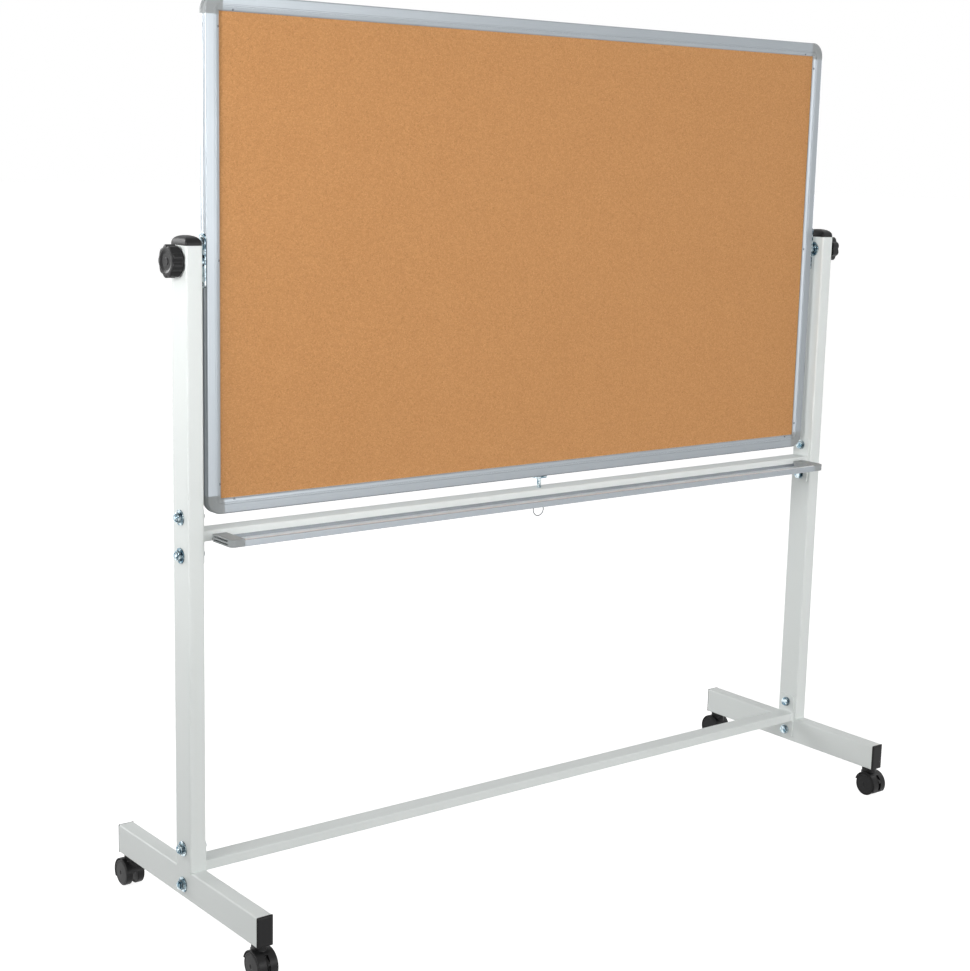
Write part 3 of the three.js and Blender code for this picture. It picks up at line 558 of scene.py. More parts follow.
def crossbar(name):
    low, high = boxOf(name)
    middle = (low[2] + high[2]) / 2
    deep, tall = barShape["deep"], barShape["tall"]
    wall, bead = barShape["wall"], barShape["bead"]
    end = boxOf("right_post")[0][0] - barShape["plate"]
    outer = roundRect(deep, tall, barShape["corner"], (0, middle), 7)
    inner = roundRect(deep - 2 * wall, tall - 2 * wall, barShape["corner"] - wall, (0, middle), 7)
    tube = hollowBar(outer, inner, "x", -end, end)
    plate = roundRect(barShape["plateWide"], barShape["plateTall"], barShape["plateCorner"], (0, middle), 8)
    plates, beads = {}, {}
    # bead: a quarter round between bar and plate, with its root sunk into both
    path = roundRect(deep, tall, barShape["corner"], (0, middle), 9)
    q = np.linspace(0, math.pi / 2, 6)
    wide, root, sunk = bead * barShape["beadWide"], -0.3, 0.2
    section = [(root, sunk), (root, -bead), *zip(wide * np.sin(q), -bead * np.cos(q)), (wide, sunk)]
    for side, way in sides:
        near, far = sorted((way * end, way * (end + barShape["plate"])))
        plates[side] = bar(plate, "x", near, far, 0.4, 4)
        beads[side] = carriedRing(path, [(out, along * way) for out, along in section], "x", way * end)
    return tube, plates, beads, middle


upperTube, upperPlates, upperBeads, upperMiddle = crossbar("upper_crossbar")
pinHole = drum(barShape["pinHole"], upperMiddle, upperMiddle + barShape["tall"], "z")
tailHole = drum(barShape["tailHole"], upperMiddle - barShape["tall"], upperMiddle, "z")
addPiece("upper_bar", [carve(upperTube, [pinHole, tailHole]), *upperBeads.values()], "stand", powder,
         ["upper_crossbar"])
for side, sign in sides:
    addPiece(f"{side}_upper_plate", [upperPlates[side]], "stand", powder,
             [f"{side}_upper_bar_plate"])
lowerTube, lowerPlates, lowerBeads = crossbar("lower_crossbar")[:3]
addPiece("lower_bar", [lowerTube, *lowerPlates.values(), *lowerBeads.values()], "stand", powder,
         ["lower_crossbar"])
print("crossbars made")


# Frame bolts

boltShape = {"flats": 17.0, "head": 6.4, "washer": 2.0, "headWasher": 10.5, "nutWasher": 14.0,
             "nut": 6.5, "collar": 7.25, "collarTall": 2.5, "thread": 5.0, "bore": 5.2}


def washer(radius, bore, axis, start, end, centre, ease=0.35):
    # a ring of four rounded corners turned about the axis
    corners = [(bore, start), (radius, start), (radius, end), (bore, end)]
    profile = roundLoop(corners, [0.1, ease, ease, 0.1], 4)
    flat = profile[:, None, :1] * compass(roundAngles(56))[None] + np.asarray(centre)
    return loft(place(flat, profile[:, 1:], axis), ring=True)


def frameBolt(node, sign):
    low, high = boxOf(node)
    height = (low[2] + high[2]) / 2
    centre = (0, height)
    shape = boltShape
    postLow, postHigh = boxOf("right_post")
    plateFace = postLow[0] - barShape["plate"]
    headFace = plateFace - shape["washer"]
    nutFace = postHigh[0] + shape["washer"]
    nutEnd = nutFace + shape["nut"]
    collarEnd = nutEnd + shape["collarTall"]
    wide, bore = shape["collar"], shape["bore"]
    collar = roundProfile([(0, nutEnd - 1), (wide, nutEnd - 1), (wide, collarEnd), (bore, collarEnd),
                           (bore, collarEnd - 1), (0, collarEnd - 1)], [0, 0.1, 1.1, 0.3, 0.1, 0])
    boltEnd = max(abs(low[0]), abs(high[0]))
    surfaces = [
        hexBody(shape["flats"], "x", headFace - shape["head"], headFace, centre, (1, 0)),
        washer(shape["headWasher"], bore, "x", headFace, plateFace, centre),
        washer(shape["nutWasher"], bore, "x", postHigh[0], nutFace, centre),
        hexBody(shape["flats"], "x", nutFace, nutEnd, centre, (1, 1), 0.3),
        lathe(collar, "x", centre),
        thread(shape["thread"], "x", headFace - 2, boltEnd, centre),
    ]
    return sided(surfaces, sign)


for side, sign in sides:
    for height in ("upper", "lower"):
        for level in ("low", "high"):
            node = f"{side}_{height}_bar_{level}_bolt"
            addPiece(f"{node}_set", frameBolt(node, sign), "stand", zinc, [node])
print("frame bolts made")


# Pen tray and its end caps

trayShape = {"wall": 2.0, "back": 8.5, "noseTop": 7.5, "noseRun": 9.0, "noseRound": 2.4}

trayLow, trayHigh = boxOf("pen_tray")
front, rear = trayLow[1], trayHigh[1]
inside = rear - trayShape["wall"]
backTop, floorTop = trayLow[2] + trayShape["back"], trayLow[2] + trayShape["wall"]
noseBack = front + trayShape["noseTop"]
trayLoop = roundLoop(
    [(front, trayLow[2]), (rear, trayLow[2]), (rear, backTop), (inside, backTop), (inside, floorTop),
     (noseBack + trayShape["noseRun"], floorTop), (noseBack, trayHigh[2]), (front, trayHigh[2])],
    [1.0, 0.5, 0.5, 0.5, 1.5, 1.5, 1.2, trayShape["noseRound"]], 6)
addPiece("tray_channel", [bar(trayLoop, "x", trayLow[0], trayHigh[0])], "stand", railAcross,
         ["pen_tray"])

trayEnd = {"corner": 10.0, "slot": 3.0, "gap": 3.0, "deep": 18.0, "margin": 6.0, "edge": 0.7,
           "spigotWide": 6.0, "spigotTall": 9.0, "spigotIn": 6.5}


def trayCap():
    low, high = boxOf("right_tray_cap")
    start, end = trayHigh[0], high[0]
    deep, margin = trayEnd["deep"], trayEnd["margin"]
    y0, y1 = low[1], high[1]

    def plan(notch):  # outline from above, with the end's middle part moved in by the notch
        x = end - notch
        return roundLoop(
            [(start, y0), (end, y0), (end, y0 + 2 * margin), (x, y0 + 2 * margin + 0.01), (x, y1 - margin),
             (end, y1 - margin + 0.01), (end, y1), (start, y1)],
            [0, trayEnd["corner"], 0, 0, 0, 0, 1.5, 0], 8)

    plain, notched = plan(0.02), plan(deep)
    middle = (low[2] + high[2]) / 2
    rows = endRows(plain, "z", low[2], 1, trayEnd["edge"], 4)
    for way in (-1, 1):
        centre = middle + way * (trayEnd["slot"] + trayEnd["gap"]) / 2
        a, b = centre - trayEnd["slot"] / 2, centre + trayEnd["slot"] / 2
        rows += [place(plain, a, "z"), place(notched, a + 0.15, "z"), place(notched, b - 0.15, "z"),
                 place(plain, b, "z")]
    rows += endRows(plain, "z", high[2], -1, trayEnd["edge"], 4)[::-1]
    centre = (front + trayEnd["spigotIn"], middle)
    spigot = roundRect(trayEnd["spigotWide"], trayEnd["spigotTall"], 1, centre, 3)
    return [loft(rows), bar(spigot, "x", low[0], start + 1)]


for side, sign in sides:
    addPiece(f"{side}_tray_end", sided(trayCap(), sign), "stand", greyPlastic,
             [f"{side}_tray_cap"])
print("tray made")


# Board frame: rails, corners, panel

railShape = {"face": 28.0, "groove": 4.8, "grooveFloor": 2.4, "grooveDeep": 1.9, "edge": 2.8,
             "ridge": 16.4, "ridgeTall": 0.35, "bead": 19.5, "beadWide": 1.2, "beadDeep": 0.9,
             "lipDrop": 0.3, "lipEdge": 1.2, "lipRound": 2.6, "slot": 14.5, "slotHalf": 6.25, "leg": 34.0,
             "catchHole": 4.7}
spigotShape = {"wide": 17.4, "thick": 9.4, "corner": 1.5, "in": 7.5, "from": 33.5, "to": 54.0}

pivotHeight = sum(boxOf("cork_sheet"))[2] / 2
railLow, railHigh = boxOf("left_rail")
halfThick = (railHigh[1] - railLow[1]) / 2
halfWide = -railLow[0]
halfTall = boxOf("top_rail")[1][2] - pivotHeight


def railLoop(slotted=True):
    # half section (s, y) from the outer side to the lip, and its mirror image
    r = railShape
    lip = r["slotHalf"] + r["lipEdge"]
    flat = halfThick - r["ridgeTall"]
    points = [(r["grooveDeep"], r["grooveFloor"], 0.3), (0, r["groove"], 0.4), (0, flat, r["edge"]),
              (r["ridge"], flat, 0.5), (r["ridge"] + 0.8, halfThick, 0.7), (r["bead"], halfThick, 0.7),
              (r["bead"], halfThick - r["beadDeep"], 0.1),
              (r["bead"] + r["beadWide"], halfThick - r["beadDeep"], 0.1),
              (r["bead"] + r["beadWide"], halfThick - r["lipDrop"], 0.4),
              (r["face"] - 2.4, lip + 1.9, r["lipRound"]), (r["face"], lip, 0.3)]
    if slotted:
        points += [(r["face"], r["slotHalf"], 0.3), (r["slot"], r["slotHalf"], 0)]
    other = [(s, -y, e) for s, y, e in points[::-1]]
    whole = np.array(points + other)
    return roundLoop(whole[:, :2], whole[:, 2], 5)


section = railLoop()
for node, way in (("top_rail", 1), ("bottom_rail", -1)):
    low, high = boxOf(node)
    loop = np.stack([section[:, 1], pivotHeight + way * (halfTall - section[:, 0])], 1)
    rail = bar(loop, "x", low[0], high[0])
    hole = moved(drum(railShape["catchHole"], -3, 3, "z"), shift=(0, 0, pivotHeight + way * halfTall))
    addPiece(f"{node}_profile", [carve(rail, [hole])], "board", railAcross, [node])
for side, sign in sides:
    low, high = boxOf(f"{side}_rail")
    loop = np.stack([sign * (halfWide - section[:, 0]), section[:, 1]], 1)
    addPiece(f"{side}_rail_profile", [bar(loop, "z", low[2], high[2])], "board", railUpright,
             [f"{side}_rail"])


def frameCorner():
    # section point (s, y) at an angle q stands (R - s)(cos q, sin q) from the bend's middle, and the
    # two legs run straight on
    loop = railLoop(False)
    radius, leg = railShape["face"], railShape["leg"]
    s, y = loop[:, 0], loop[:, 1]
    q = np.linspace(0, math.pi / 2, 25)[:, None]
    x = np.vstack([-s, -radius + (radius - s) * np.cos(q), np.full_like(s, -leg)])
    z = np.vstack([np.full_like(s, -leg), -radius + (radius - s) * np.sin(q), -s])
    return loft(np.stack([x, np.broadcast_to(y, x.shape), z], -1))


bend = frameCorner()
spigotLoop = roundRect(spigotShape["wide"], spigotShape["thick"], spigotShape["corner"],
                       (0, -spigotShape["in"]), 4)
spigots = [bar(loop, axis, -spigotShape["to"], -spigotShape["from"], 0.6, 3)
           for loop, axis in ((spigotLoop, "x"), (spigotLoop[:, ::-1], "z"))]
for side, sign in sides:
    for end, up in (("top", 1), ("bottom", -1)):
        spot = (sign * halfWide, 0, pivotHeight + up * halfTall)
        parts = [moved(s, (sign, 1, up), spot) for s in [bend, *spigots]]
        node = f"{end}_{side}_corner"
        addPiece(f"{node}_cap", parts, "board", greyPlastic, [node])
for node, look in (("cork_sheet", cork), ("board_core", core), ("whiteboard_sheet", enamel)):
    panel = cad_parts[node]
    panel.data.materials.clear()
    panel.data.materials.append(look)
print("board made")


# Small screws in the lips of the rails

screwShape = {"radius": 2.3, "tall": 0.9, "cross": 1.35, "slit": 0.33, "sunk": 0.6, "foot": 1.2,
              "seat": 0.35, "fromEdge": 24.6, "fromCorner": 54.0}


def screwHead(centre, height, way):
    # y = h (1 - (r / R)^2)^0.5, sunk where the cross lies
    shape = screwShape
    r = np.concatenate([np.linspace(shape["radius"], 0, 13), [0]])[:, None]
    t = roundAngles(48)[None]
    x, z = r * np.cos(t), r * np.sin(t)
    rise = shape["tall"] * (1 - (r / shape["radius"]) ** 2) ** 0.5 + 0 * t
    cross = (np.minimum(abs(x), abs(z)) < shape["slit"]) & (np.maximum(abs(x), abs(z)) < shape["cross"])
    rise = np.where(cross, rise - shape["sunk"], rise)
    y = height + way * rise
    rows = np.stack([x + centre[0], y, z + centre[1]], -1)
    foot = np.full_like(x[:1], height - way * shape["foot"])
    back = np.stack([x[:1] + centre[0], foot, z[:1] + centre[1]], -1)
    return loft(np.vstack([back, rows]))


# the heads sit on the lip's slope, whose height at their distance from the edge is read off the section
lipLine = section[(section[:, 1] > 0) & (section[:, 0] > railShape["bead"] + railShape["beadWide"] + 0.1)]
order = np.argsort(lipLine[:, 0])
near, far = screwShape["fromEdge"], screwShape["fromCorner"]
seat = np.interp(near, lipLine[order, 0], lipLine[order, 1]) - screwShape["seat"]
spots = [(sx * (halfWide - a), pivotHeight + sz * (halfTall - b))
         for sx in (-1, 1) for sz in (-1, 1) for a, b in ((near, far), (far, near))]
spots += [(sx * (halfWide - near), pivotHeight) for sx in (-1, 1)]
heads = [screwHead(spot, way * seat, way) for way in (-1, 1) for spot in spots]
addPiece("lip_screws", heads, "board", wire)
print("lip screws made")


# Pivots and knobs

pivotShape = {"plate": 3.0, "plateCorner": 5.0, "flats": 17.0, "head": 6.4, "nut": 7.5, "shank": 5.0,
              "bore": 5.2, "smallWasher": 12.0, "small": 2.2, "wideWasher": 16.0, "screw": 4.0,
              "screwTall": 2.2, "screwReach": 40.0}

for side, sign in sides:
    low, high = boxOf("right_pivot_plate")
    centre = (0, pivotHeight)
    plateEnd = halfWide + pivotShape["plate"]
    plate = roundRect(high[1] - low[1], high[2] - low[2], pivotShape["plateCorner"], centre, 7)
    surfaces = [bar(plate, "x", halfWide, plateEnd, 0.4, 4)]
    for way in (-1, 1):
        wide, top = pivotShape["screw"], plateEnd + pivotShape["screwTall"]
        dome = [(0, plateEnd - 1), (wide, plateEnd - 1), (wide, plateEnd + 1), (2.2, top), (0, top)]
        dome = roundProfile(dome, [0, 0, 0.6, 1.2, 0])
        surfaces.append(lathe(dome, "x", (0, pivotHeight + way * pivotShape["screwReach"]), 32))
    addPiece(f"{side}_pivot_mount", sided(surfaces, sign), "board", zinc,
             [f"{side}_pivot_plate"])

    low, high = boxOf("right_pivot_bolt")
    turn, flats, bore = math.pi / 6, pivotShape["flats"], pivotShape["bore"]
    shank, root, tip = pivotShape["shank"], low[0] + 3, 0.8
    nutEnd = plateEnd + pivotShape["nut"]
    smallEnd = nutEnd + pivotShape["small"]
    wideEnd = boxOf("right_post")[0][0] - 0.3
    surfaces = [
        hexBody(flats, "x", low[0], low[0] + pivotShape["head"], centre, (1, 0), turn),
        lathe([(0, root), (shank, root), (shank, high[0] - tip), (shank - tip, high[0]), (0, high[0])],
              "x", centre),
        hexBody(flats, "x", plateEnd, nutEnd, centre, (1, 1), turn),
        washer(pivotShape["smallWasher"], bore, "x", nutEnd, smallEnd, centre),
        washer(pivotShape["wideWasher"], bore, "x", smallEnd, wideEnd, centre),
    ]
    addPiece(f"{side}_pivot_set", sided(surfaces, sign), "board", zinc,
             [f"{side}_pivot_bolt"])

knobShape = {"lobes": 9, "valley": 25.6, "flange": 23.0, "flangeThick": 4.5, "dish": 20.0, "floor": 15.0,
             "deep": 1.8, "button": 6.0, "buttonTall": 0.9, "bore": 5.35, "boreDeep": 17.7, "steps": 18}


def knob():
    # r = base + weight * (crest - valley) * w, where w is (cos^2(n t / 2) + 0.03)^0.5 brought to 0 to 1
    low, high = boxOf("right_knob")
    shape = knobShape
    start, end = low[0], high[0]
    crest = (high[2] - low[2]) / 2
    grip = start + shape["flangeThick"]
    valley, floor = shape["valley"], end - shape["deep"]
    button, buttonTop, boreEnd = shape["button"], floor + shape["buttonTall"], start + shape["boreDeep"]
    profile = np.array([
        (0, buttonTop, 0), (button, buttonTop, 0.5), (button + 0.4, floor, 0.3), (shape["floor"], floor, 1.5),
        (shape["dish"], end, 1.5), (valley, end, 2.4), (valley, grip, 1.6), (shape["flange"], grip, 0.6),
        (shape["flange"], start, 0.6), (shape["bore"], start, 0.3), (shape["bore"], boreEnd, 0.2),
        (0, boreEnd, 0)])
    flat = roundLoop(profile[:, :2], profile[:, 2], 7)
    # the lobes grow from nothing inside the dish's rim to their full height at the side
    weight = np.clip((flat[:, 0] - shape["flange"]) / (valley - shape["flange"]), 0, 1)
    t = roundAngles(shape["lobes"] * shape["steps"])
    wave = np.sqrt(np.cos(shape["lobes"] * t / 2) ** 2 + 0.03)
    wave = (wave - wave.min()) / (wave.max() - wave.min())
    r = flat[:, :1] + weight[:, None] * (crest - valley) * wave[None]
    points = r[..., None] * compass(t)[None] + np.array([0, pivotHeight])
    return loft(place(points, flat[:, 1:], "x"))


for side, sign in sides:
    addPiece(f"{side}_knob_grip", sided([knob()], sign), f"knob_{side}", blackPlastic,
             [f"{side}_knob"], 38)
print("pivots and knobs made")


# Lock: catch plate, pin, ring and spring

lockShape = {"pin": 4.25, "tail": 3.5, "collar": 6.5, "collarTall": 3.0, "collarTop": 8.2, "eye": 1.8,
             "eyeDrop": 22.1, "ringWire": 0.9, "springRadius": 4.9, "springWire": 0.6, "springTurns": 3.5}

low, high = boxOf("catch_plate")
plate = bar(roundRect(high[0] - low[0], high[1] - low[1], 1.2, (0, 0), 5), "z", low[2], high[2], 0.4, 3)
hole = drum(railShape["catchHole"], low[2] - 1, high[2] + 1, "z")
addPiece("catch_tab", [carve(plate, [hole])], "board", zincPlain, ["catch_plate"])

low, high = boxOf("latch_pin")
pin, tail, collar = (lockShape[k] for k in ("pin", "tail", "collar"))
collarTop = upperMiddle + lockShape["collarTop"]
collarEnd = collarTop - lockShape["collarTall"]
pinProfile = roundProfile(
    [(0, high[2]), (pin, high[2]), (pin, collarTop), (collar, collarTop), (collar, collarEnd),
     (tail, collarEnd), (tail, low[2]), (0, low[2])], [0, 1.3, 0.2, 0.4, 0.4, 0.3, 1.2, 0])
eye = drum(lockShape["eye"], -9, 9, "x", (0, upperMiddle - lockShape["eyeDrop"]))
addPiece("lock_bolt", [carve(lathe(pinProfile, "z"), [eye])], "lock_pin", zincPlain,
         ["latch_pin"])

low, high = boxOf("latch_ring")
middle = (low + high) / 2
gauge = lockShape["ringWire"]
t, q = roundAngles(72)[:, None], roundAngles(14)[None]
reach = (high[0] - low[0]) / 2 - gauge + gauge * np.cos(q)
ring = np.stack([reach * np.cos(t), 0 * t + gauge * np.sin(q), middle[2] + reach * np.sin(t)], -1)
addPiece("pull_ring", [loft(ring, ring=True)], "lock_ring", wire, ["latch_ring"], 60)

low, high = boxOf("latch_spring")
turns, gauge = lockShape["springTurns"], lockShape["springWire"]
t = np.linspace(0, 1, int(turns * 28))[:, None]
q = roundAngles(10)[None]
angle = 2 * math.pi * turns * t
reach = lockShape["springRadius"] + gauge * np.cos(q)
rise = low[2] + gauge + (high[2] - low[2] - 2 * gauge) * t
coil = np.stack([reach * np.cos(angle), reach * np.sin(angle), rise + gauge * np.sin(q)], -1)
addPiece("lock_coil", [loft(coil)], "stand", wire, ["latch_spring"], 60)
print("lock made")


# Casters, made round the stem at the origin with the wheels trailing towards -y

casterShape = {"wheel": 25.0, "thick": 13.0, "inside": 6.0, "pin": 3.0, "hoodInner": 26.0,
               "hoodOuter": 28.5, "from": -32.0, "to": 165.0, "half": 19.0, "trail": 12.0, "neck": 10.5,
               "reach": 12.0, "neckTop": 60.0, "flare": 1.4, "flareTop": 54.5, "flareTall": 4.0,
               "stemHole": 4.35, "stemDeep": 15.3, "axleHole": 3.35, "webInner": 9.0, "webHalf": 5.5}
leverShape = {"pivot": (12.0, 17.0), "half": 3.2, "hub": 4.0, "pin": 1.5, "pinHalf": 5.1, "slotHalf": 3.6}
stemShape = {"low": 45.0, "thin": 4.0, "shoulder": 61.5, "thick": 5.0, "top": 73.5, "flats": 17.0,
             "nutLow": 63.0, "nutHigh": 71.0, "collar": 12.0, "collarLow": 60.3, "collarHigh": 61.45}
axle = (-casterShape["trail"], casterShape["wheel"])


def arcLoop(inner, outer, start, end, steps=40):
    # the band between two radii about the axle, its angles counted up from the trailing side
    q = np.radians(np.linspace(start, end, steps))
    ring = np.stack([-np.cos(q), np.sin(q)], 1)
    return np.vstack([ring * outer, ring[::-1] * inner]) + np.array(axle)


def wheelPair():
    c = casterShape
    r, a, b = c["wheel"], c["inside"], c["inside"] + c["thick"]
    profile = roundProfile(
        [(3, a + 2), (10, a + 1.2), (r - 4, a + 1.2), (r - 3, a), (r, a), (r, b - 0.4), (r - 3.2, b),
         (r - 3.9, b - 0.9), (r - 4.6, b - 0.3), (4.6, b), (3.8, b - 0.9), (0, b - 0.9)],
        [0, 0.4, 0.4, 0.4, 0.8, 1.8, 0.25, 0.2, 0.4, 0.5, 0.3, 0], 6)
    wheel = lathe(np.vstack([[(0, a + 2)], profile]), "x", axle, 72)
    pin = drum(c["pin"], -a - 2, a + 2.5, "x", axle, 24)
    return [wheel, moved(wheel, (-1, 1, 1)), pin]


def hoodNeck():
    # long towards the axle, flared by f (1 - sin(a)); its underside lies inside the shell's wall, at
    # z = axle z + (wall^2 - (y - axle y)^2)^0.5
    c = casterShape
    wall = c["hoodInner"] + 0.7
    wide, flare = c["neck"], c["flare"]
    outline = roundRect(2 * wide, 2 * wide + c["reach"], wide - 0.01, (0, -c["reach"] / 2), 14)
    hole = outline / np.linalg.norm(outline, axis=1, keepdims=True) * c["stemHole"]
    foot = inset(outline, -flare)

    def atLeast(loop, height):
        onWall = axle[1] + np.sqrt(wall ** 2 - (loop[:, 1] - axle[0]) ** 2)
        return place(loop, np.maximum(onWall, height), "z")

    rows = [atLeast(foot, 0)]
    rows += [atLeast(inset(outline, -flare * (1 - math.sin(a))), c["flareTop"] - c["flareTall"] * math.cos(a))
             for a in np.linspace(0, math.pi / 2, 6)]
    rows += endRows(outline, "z", c["neckTop"], -1, 0.9, 4)[::-1]
    rows += [place(hole, c["neckTop"], "z")]
    rows += [atLeast(hole * (1 - s) + foot * s, 0) for s in (0, 0.25, 0.5, 0.75)]
    return loft(rows, ring=True)


def hood(braked):
    c = casterShape
    top, hole = c["neckTop"], c["stemHole"]
    band = arcLoop(c["hoodInner"], c["hoodOuter"], c["from"], c["to"])
    shell = bar(band, "x", -c["half"], c["half"], 1.1, 5)
    webLoop = arcLoop(c["webInner"], c["hoodInner"] + 1.2, c["from"], c["to"], 24)
    web = bar(webLoop, "x", -c["webHalf"], c["webHalf"])
    bore = drum(hole, top - c["stemDeep"], top + 1, "z", steps=32)
    axleHole = drum(c["axleHole"], -9, 9, "x", axle, 32)
    slots = []
    if braked:
        slot = np.array([(6, -11), (31, -11), (31, 22.5), (6, 22.5)]) * [-1, 1] + np.array(axle)
        slots = [bar(roundLoop(slot, 1.0, 4), "x", -leverShape["slotHalf"], leverShape["slotHalf"])]
    # shell, web and neck are closed surfaces that run into one another
    return [carve(shell, [bore, *slots]), carve(web, [bore, axleHole, *slots]), hoodNeck()]


def brakeLever():
    half, pinHalf = leverShape["half"], leverShape["pinHalf"]
    outline = np.array([(8, 15), (12, 13), (28.4, 5.5), (28.4, 10.5), (16, 18), (12, 19)])
    outline = roundLoop(outline * [-1, 1] + np.array(axle), [0.6, 2, 1.2, 1.6, 1, 0.6], 6)
    pivot = np.array(leverShape["pivot"]) * [-1, 1] + np.array(axle)
    circle = compass(roundAngles(28))
    return [bar(outline, "x", -half, half, 0.5, 4),
            bar(circle * leverShape["hub"] + pivot, "x", -half, half, 0.4, 3),
            bar(circle * leverShape["pin"] + pivot, "x", -pinHalf, pinHalf)]


def casterStem():
    low, thin, shoulder, thick, top = (stemShape[k] for k in ("low", "thin", "shoulder", "thick", "top"))
    corners = [(0, low), (thin, low), (thin, shoulder - 1), (thick, shoulder), (thick, top), (0, top)]
    return [lathe(roundProfile(corners, [0, 0.6, 0, 0, 0.6, 0]), "z"),
            hexBody(stemShape["flats"], "z", stemShape["nutLow"], stemShape["nutHigh"], (0, 0), (1, 1))]


def settled(parts, way, spot):  # the front ones trail forwards and the rear ones backwards
    return [moved(p, (way, way, 1), spot) for p in parts]


wheelParts, stemParts, leverParts = wheelPair(), casterStem(), brakeLever()
collar = washer(stemShape["collar"], 3.9, "z", stemShape["collarLow"], stemShape["collarHigh"], (0, 0), 0.3)
hoods = {"front": hood(True), "rear": hood(False)}
for end, way in (("front", 1), ("rear", -1)):
    for side, sign in sides:
        name = f"{end}_{side}_caster"
        stemLow, stemHigh = boxOf(f"{name}_stem")
        spot = ((stemLow + stemHigh) / 2) * np.array([1, 1, 0])
        addPiece(f"{name}_post", settled(stemParts, way, spot), "stand", zincPlain,
                 [f"{name}_stem"])
        addPiece(f"{name}_collar", settled([collar], way, spot), "stand", blackPlastic)
        addPiece(f"{name}_cover", settled(hoods[end], way, spot), f"caster_{end}_{side}", blackPlastic,
                 [f"{name}_hood"], 34)
        addPiece(f"{name}_twin_wheels", settled(wheelParts, way, spot), f"wheels_{end}_{side}", wheelNylon,
                 [f"{name}_wheels"])
        if end == "front":
            addPiece(f"{name}_pedal", settled(leverParts, way, spot), f"brake_{side}", blackPlastic,
                     [f"{name}_brake"])
print("casters made")


# Floor, light and camera

studio = {"ambient": 0.4, "overhead": 0.4, "floorGlow": 0.9, "floorTone": 0.5, "floorBounce": 0.62}


def seenDirectly(paint):  # 1 for what the camera sees, in the open or mirrored or through something
    camera = paint.add("ShaderNodeLightPath", output="Is Camera Ray")
    glossy = paint.add("ShaderNodeLightPath", output="Is Glossy Ray")
    through = paint.add("ShaderNodeLightPath", output="Is Transmission Ray")
    return camera.math("MAXIMUM", glossy).math("MAXIMUM", through)


floorMesh = bpy.data.meshes.new("floor")
reach = 60.0
floorMesh.from_pydata([(-reach, -reach, 0), (reach, -reach, 0), (reach, reach, 0), (-reach, reach, 0)], [],
                      [(0, 1, 2, 3)])
floor = bpy.data.objects.new("floor", floorMesh)
bpy.context.scene.collection.objects.link(floor)
paint = Paint("studioFloor")
tone = studio["floorTone"]
bounce = studio["floorBounce"]
shown = paint.add("ShaderNodeAddShader", {}, {
    0: paint.add("ShaderNodeEmission", {}, {"Color": (1, 1, 1, 1), "Strength": studio["floorGlow"]}),
    1: paint.add("ShaderNodeBsdfDiffuse", {}, {"Color": (tone, tone, tone, 1)})})
plain = paint.add("ShaderNodeBsdfDiffuse", {}, {"Color": (bounce, bounce, bounce, 1)})
mixed = paint.add("ShaderNodeMixShader", {}, {0: seenDirectly(paint), 1: plain, 2: shown})
floorMesh.materials.append(paint.finish(mixed))

world = bpy.data.worlds.new("studio")
bpy.context.scene.world = world
paint = Paint("studio", world)
openSky = paint.add("ShaderNodeBackground", {}, {"Color": (1, 1, 1, 1), "Strength": 1.0})
# the ambient light falls from the horizon to the zenith, as between tall white screens
rise = paint.add("ShaderNodeSeparateXYZ", {}, {0: paint.add("ShaderNodeTexCoord", output="Generated")}, 2)
strength = (1 - rise.math("MAXIMUM", 0.0) * (1 - studio["overhead"])) * studio["ambient"]
soft = paint.add("ShaderNodeBackground", {}, {"Color": (1, 1, 1, 1), "Strength": strength})
mixed = paint.add("ShaderNodeMixShader", {}, {0: seenDirectly(paint), 1: soft, 2: openSky})
paint.finish(mixed, "ShaderNodeOutputWorld")


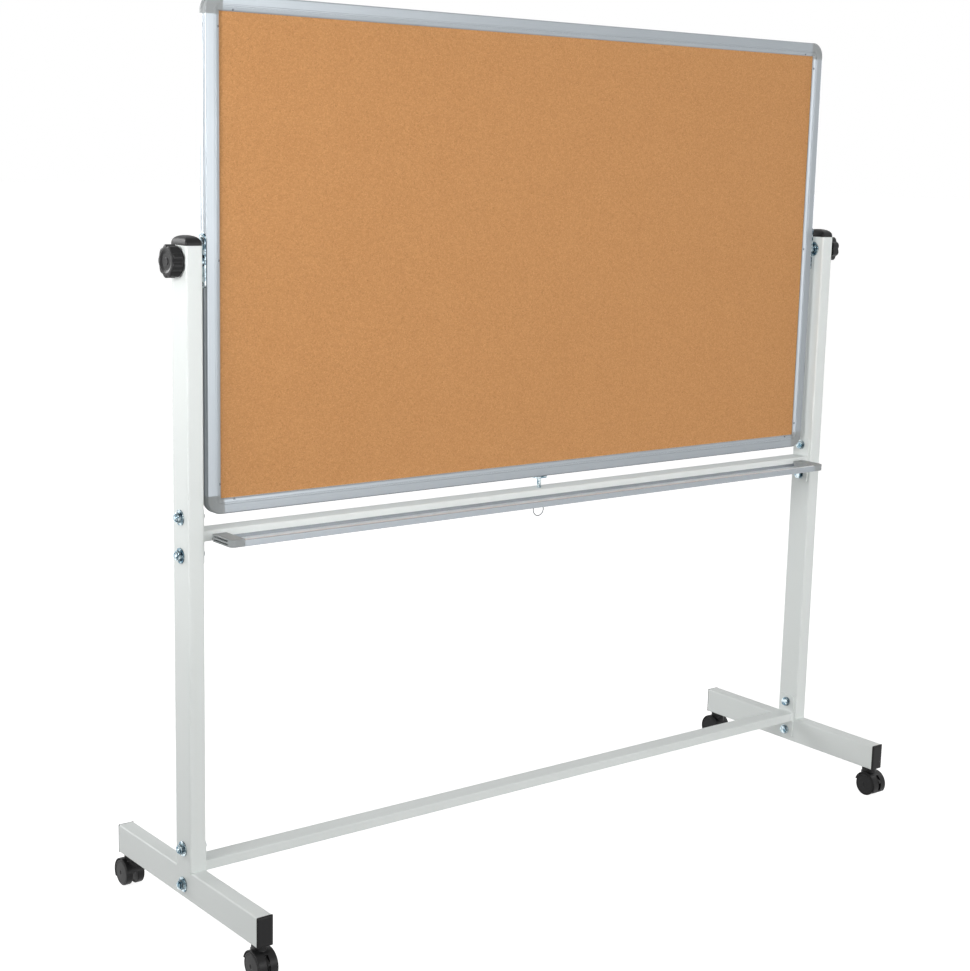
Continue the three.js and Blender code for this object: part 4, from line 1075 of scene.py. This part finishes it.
def softLamp(name, place, aim, size, watts, spread=180):  # a lit panel at a place, facing its aim
    data = bpy.data.lights.new(name, "AREA")
    data.shape, data.size, data.size_y, data.energy = "RECTANGLE", size[0], size[1], watts
    data.spread = math.radians(spread)
    lamp = bpy.data.objects.new(name, data)
    bpy.context.scene.collection.objects.link(lamp)
    gaze = np.array(aim, float) - np.array(place, float)
    back = -gaze / np.linalg.norm(gaze)
    right = np.cross((0, 0, 1), back)
    right /= np.linalg.norm(right)
    up = np.cross(back, right)
    turned = np.stack([right, up, back], 1)
    lamp.matrix_world = Matrix([(*row, p) for row, p in zip(turned, place)] + [(0, 0, 0, 1)])


softLamp("keyLamp", (-3.0, -0.8, 1.8), (-0.8, 0, 1.5), (0.9, 0.9), 3.8, 60)
softLamp("sideLamp", (-4.0, -1.6, 1.9), (-0.8, 0, 1.6), (1.2, 1.2), 5.0, 50)
softLamp("lowLamp", (-2.6, -0.2, 2.6), (-0.8, -0.1, 0.0), (1.2, 1.2), 1.6, 50)
softLamp("frontLamp", (0.6, -5.0, 1.5), (0.0, 0, 0.9), (2.8, 2.4), 102)
softLamp("rightLamp", (4.8, -0.3, 1.6), (0.2, 0, 0.9), (1.8, 2.2), 50)
softLamp("backLamp", (-2.0, 4.6, 2.2), (0.0, 0, 0.9), (2.4, 2.0), 92)

sensor = 36.0
lens = {"place": (-2.2525, -2.7030, 1.3983), "yaw": 38.03, "pitch": 10.57, "roll": 1.36,
        "focal": 1770.33 / 970 * sensor}
yaw, pitch, roll = (math.radians(lens[k]) for k in ("yaw", "pitch", "roll"))
ahead = np.array([math.sin(yaw) * math.cos(pitch), math.cos(yaw) * math.cos(pitch), -math.sin(pitch)])
level = np.array([math.cos(yaw), -math.sin(yaw), 0])
upward = np.cross(level, ahead)
right = level * math.cos(roll) + upward * math.sin(roll)
up = upward * math.cos(roll) - level * math.sin(roll)
cameraData = bpy.data.cameras.new("camera")
cameraData.sensor_fit, cameraData.sensor_width, cameraData.lens = "HORIZONTAL", sensor, lens["focal"]
camera = bpy.data.objects.new("camera", cameraData)
bpy.context.scene.collection.objects.link(camera)
turned = np.stack([right, up, -ahead], 1)
camera.matrix_world = Matrix([(*row, p) for row, p in zip(turned, lens["place"])] + [(0, 0, 0, 1)])
bpy.context.scene.camera = camera
bpy.context.scene.view_settings.view_transform = "Standard"
print("floor, light and camera set")
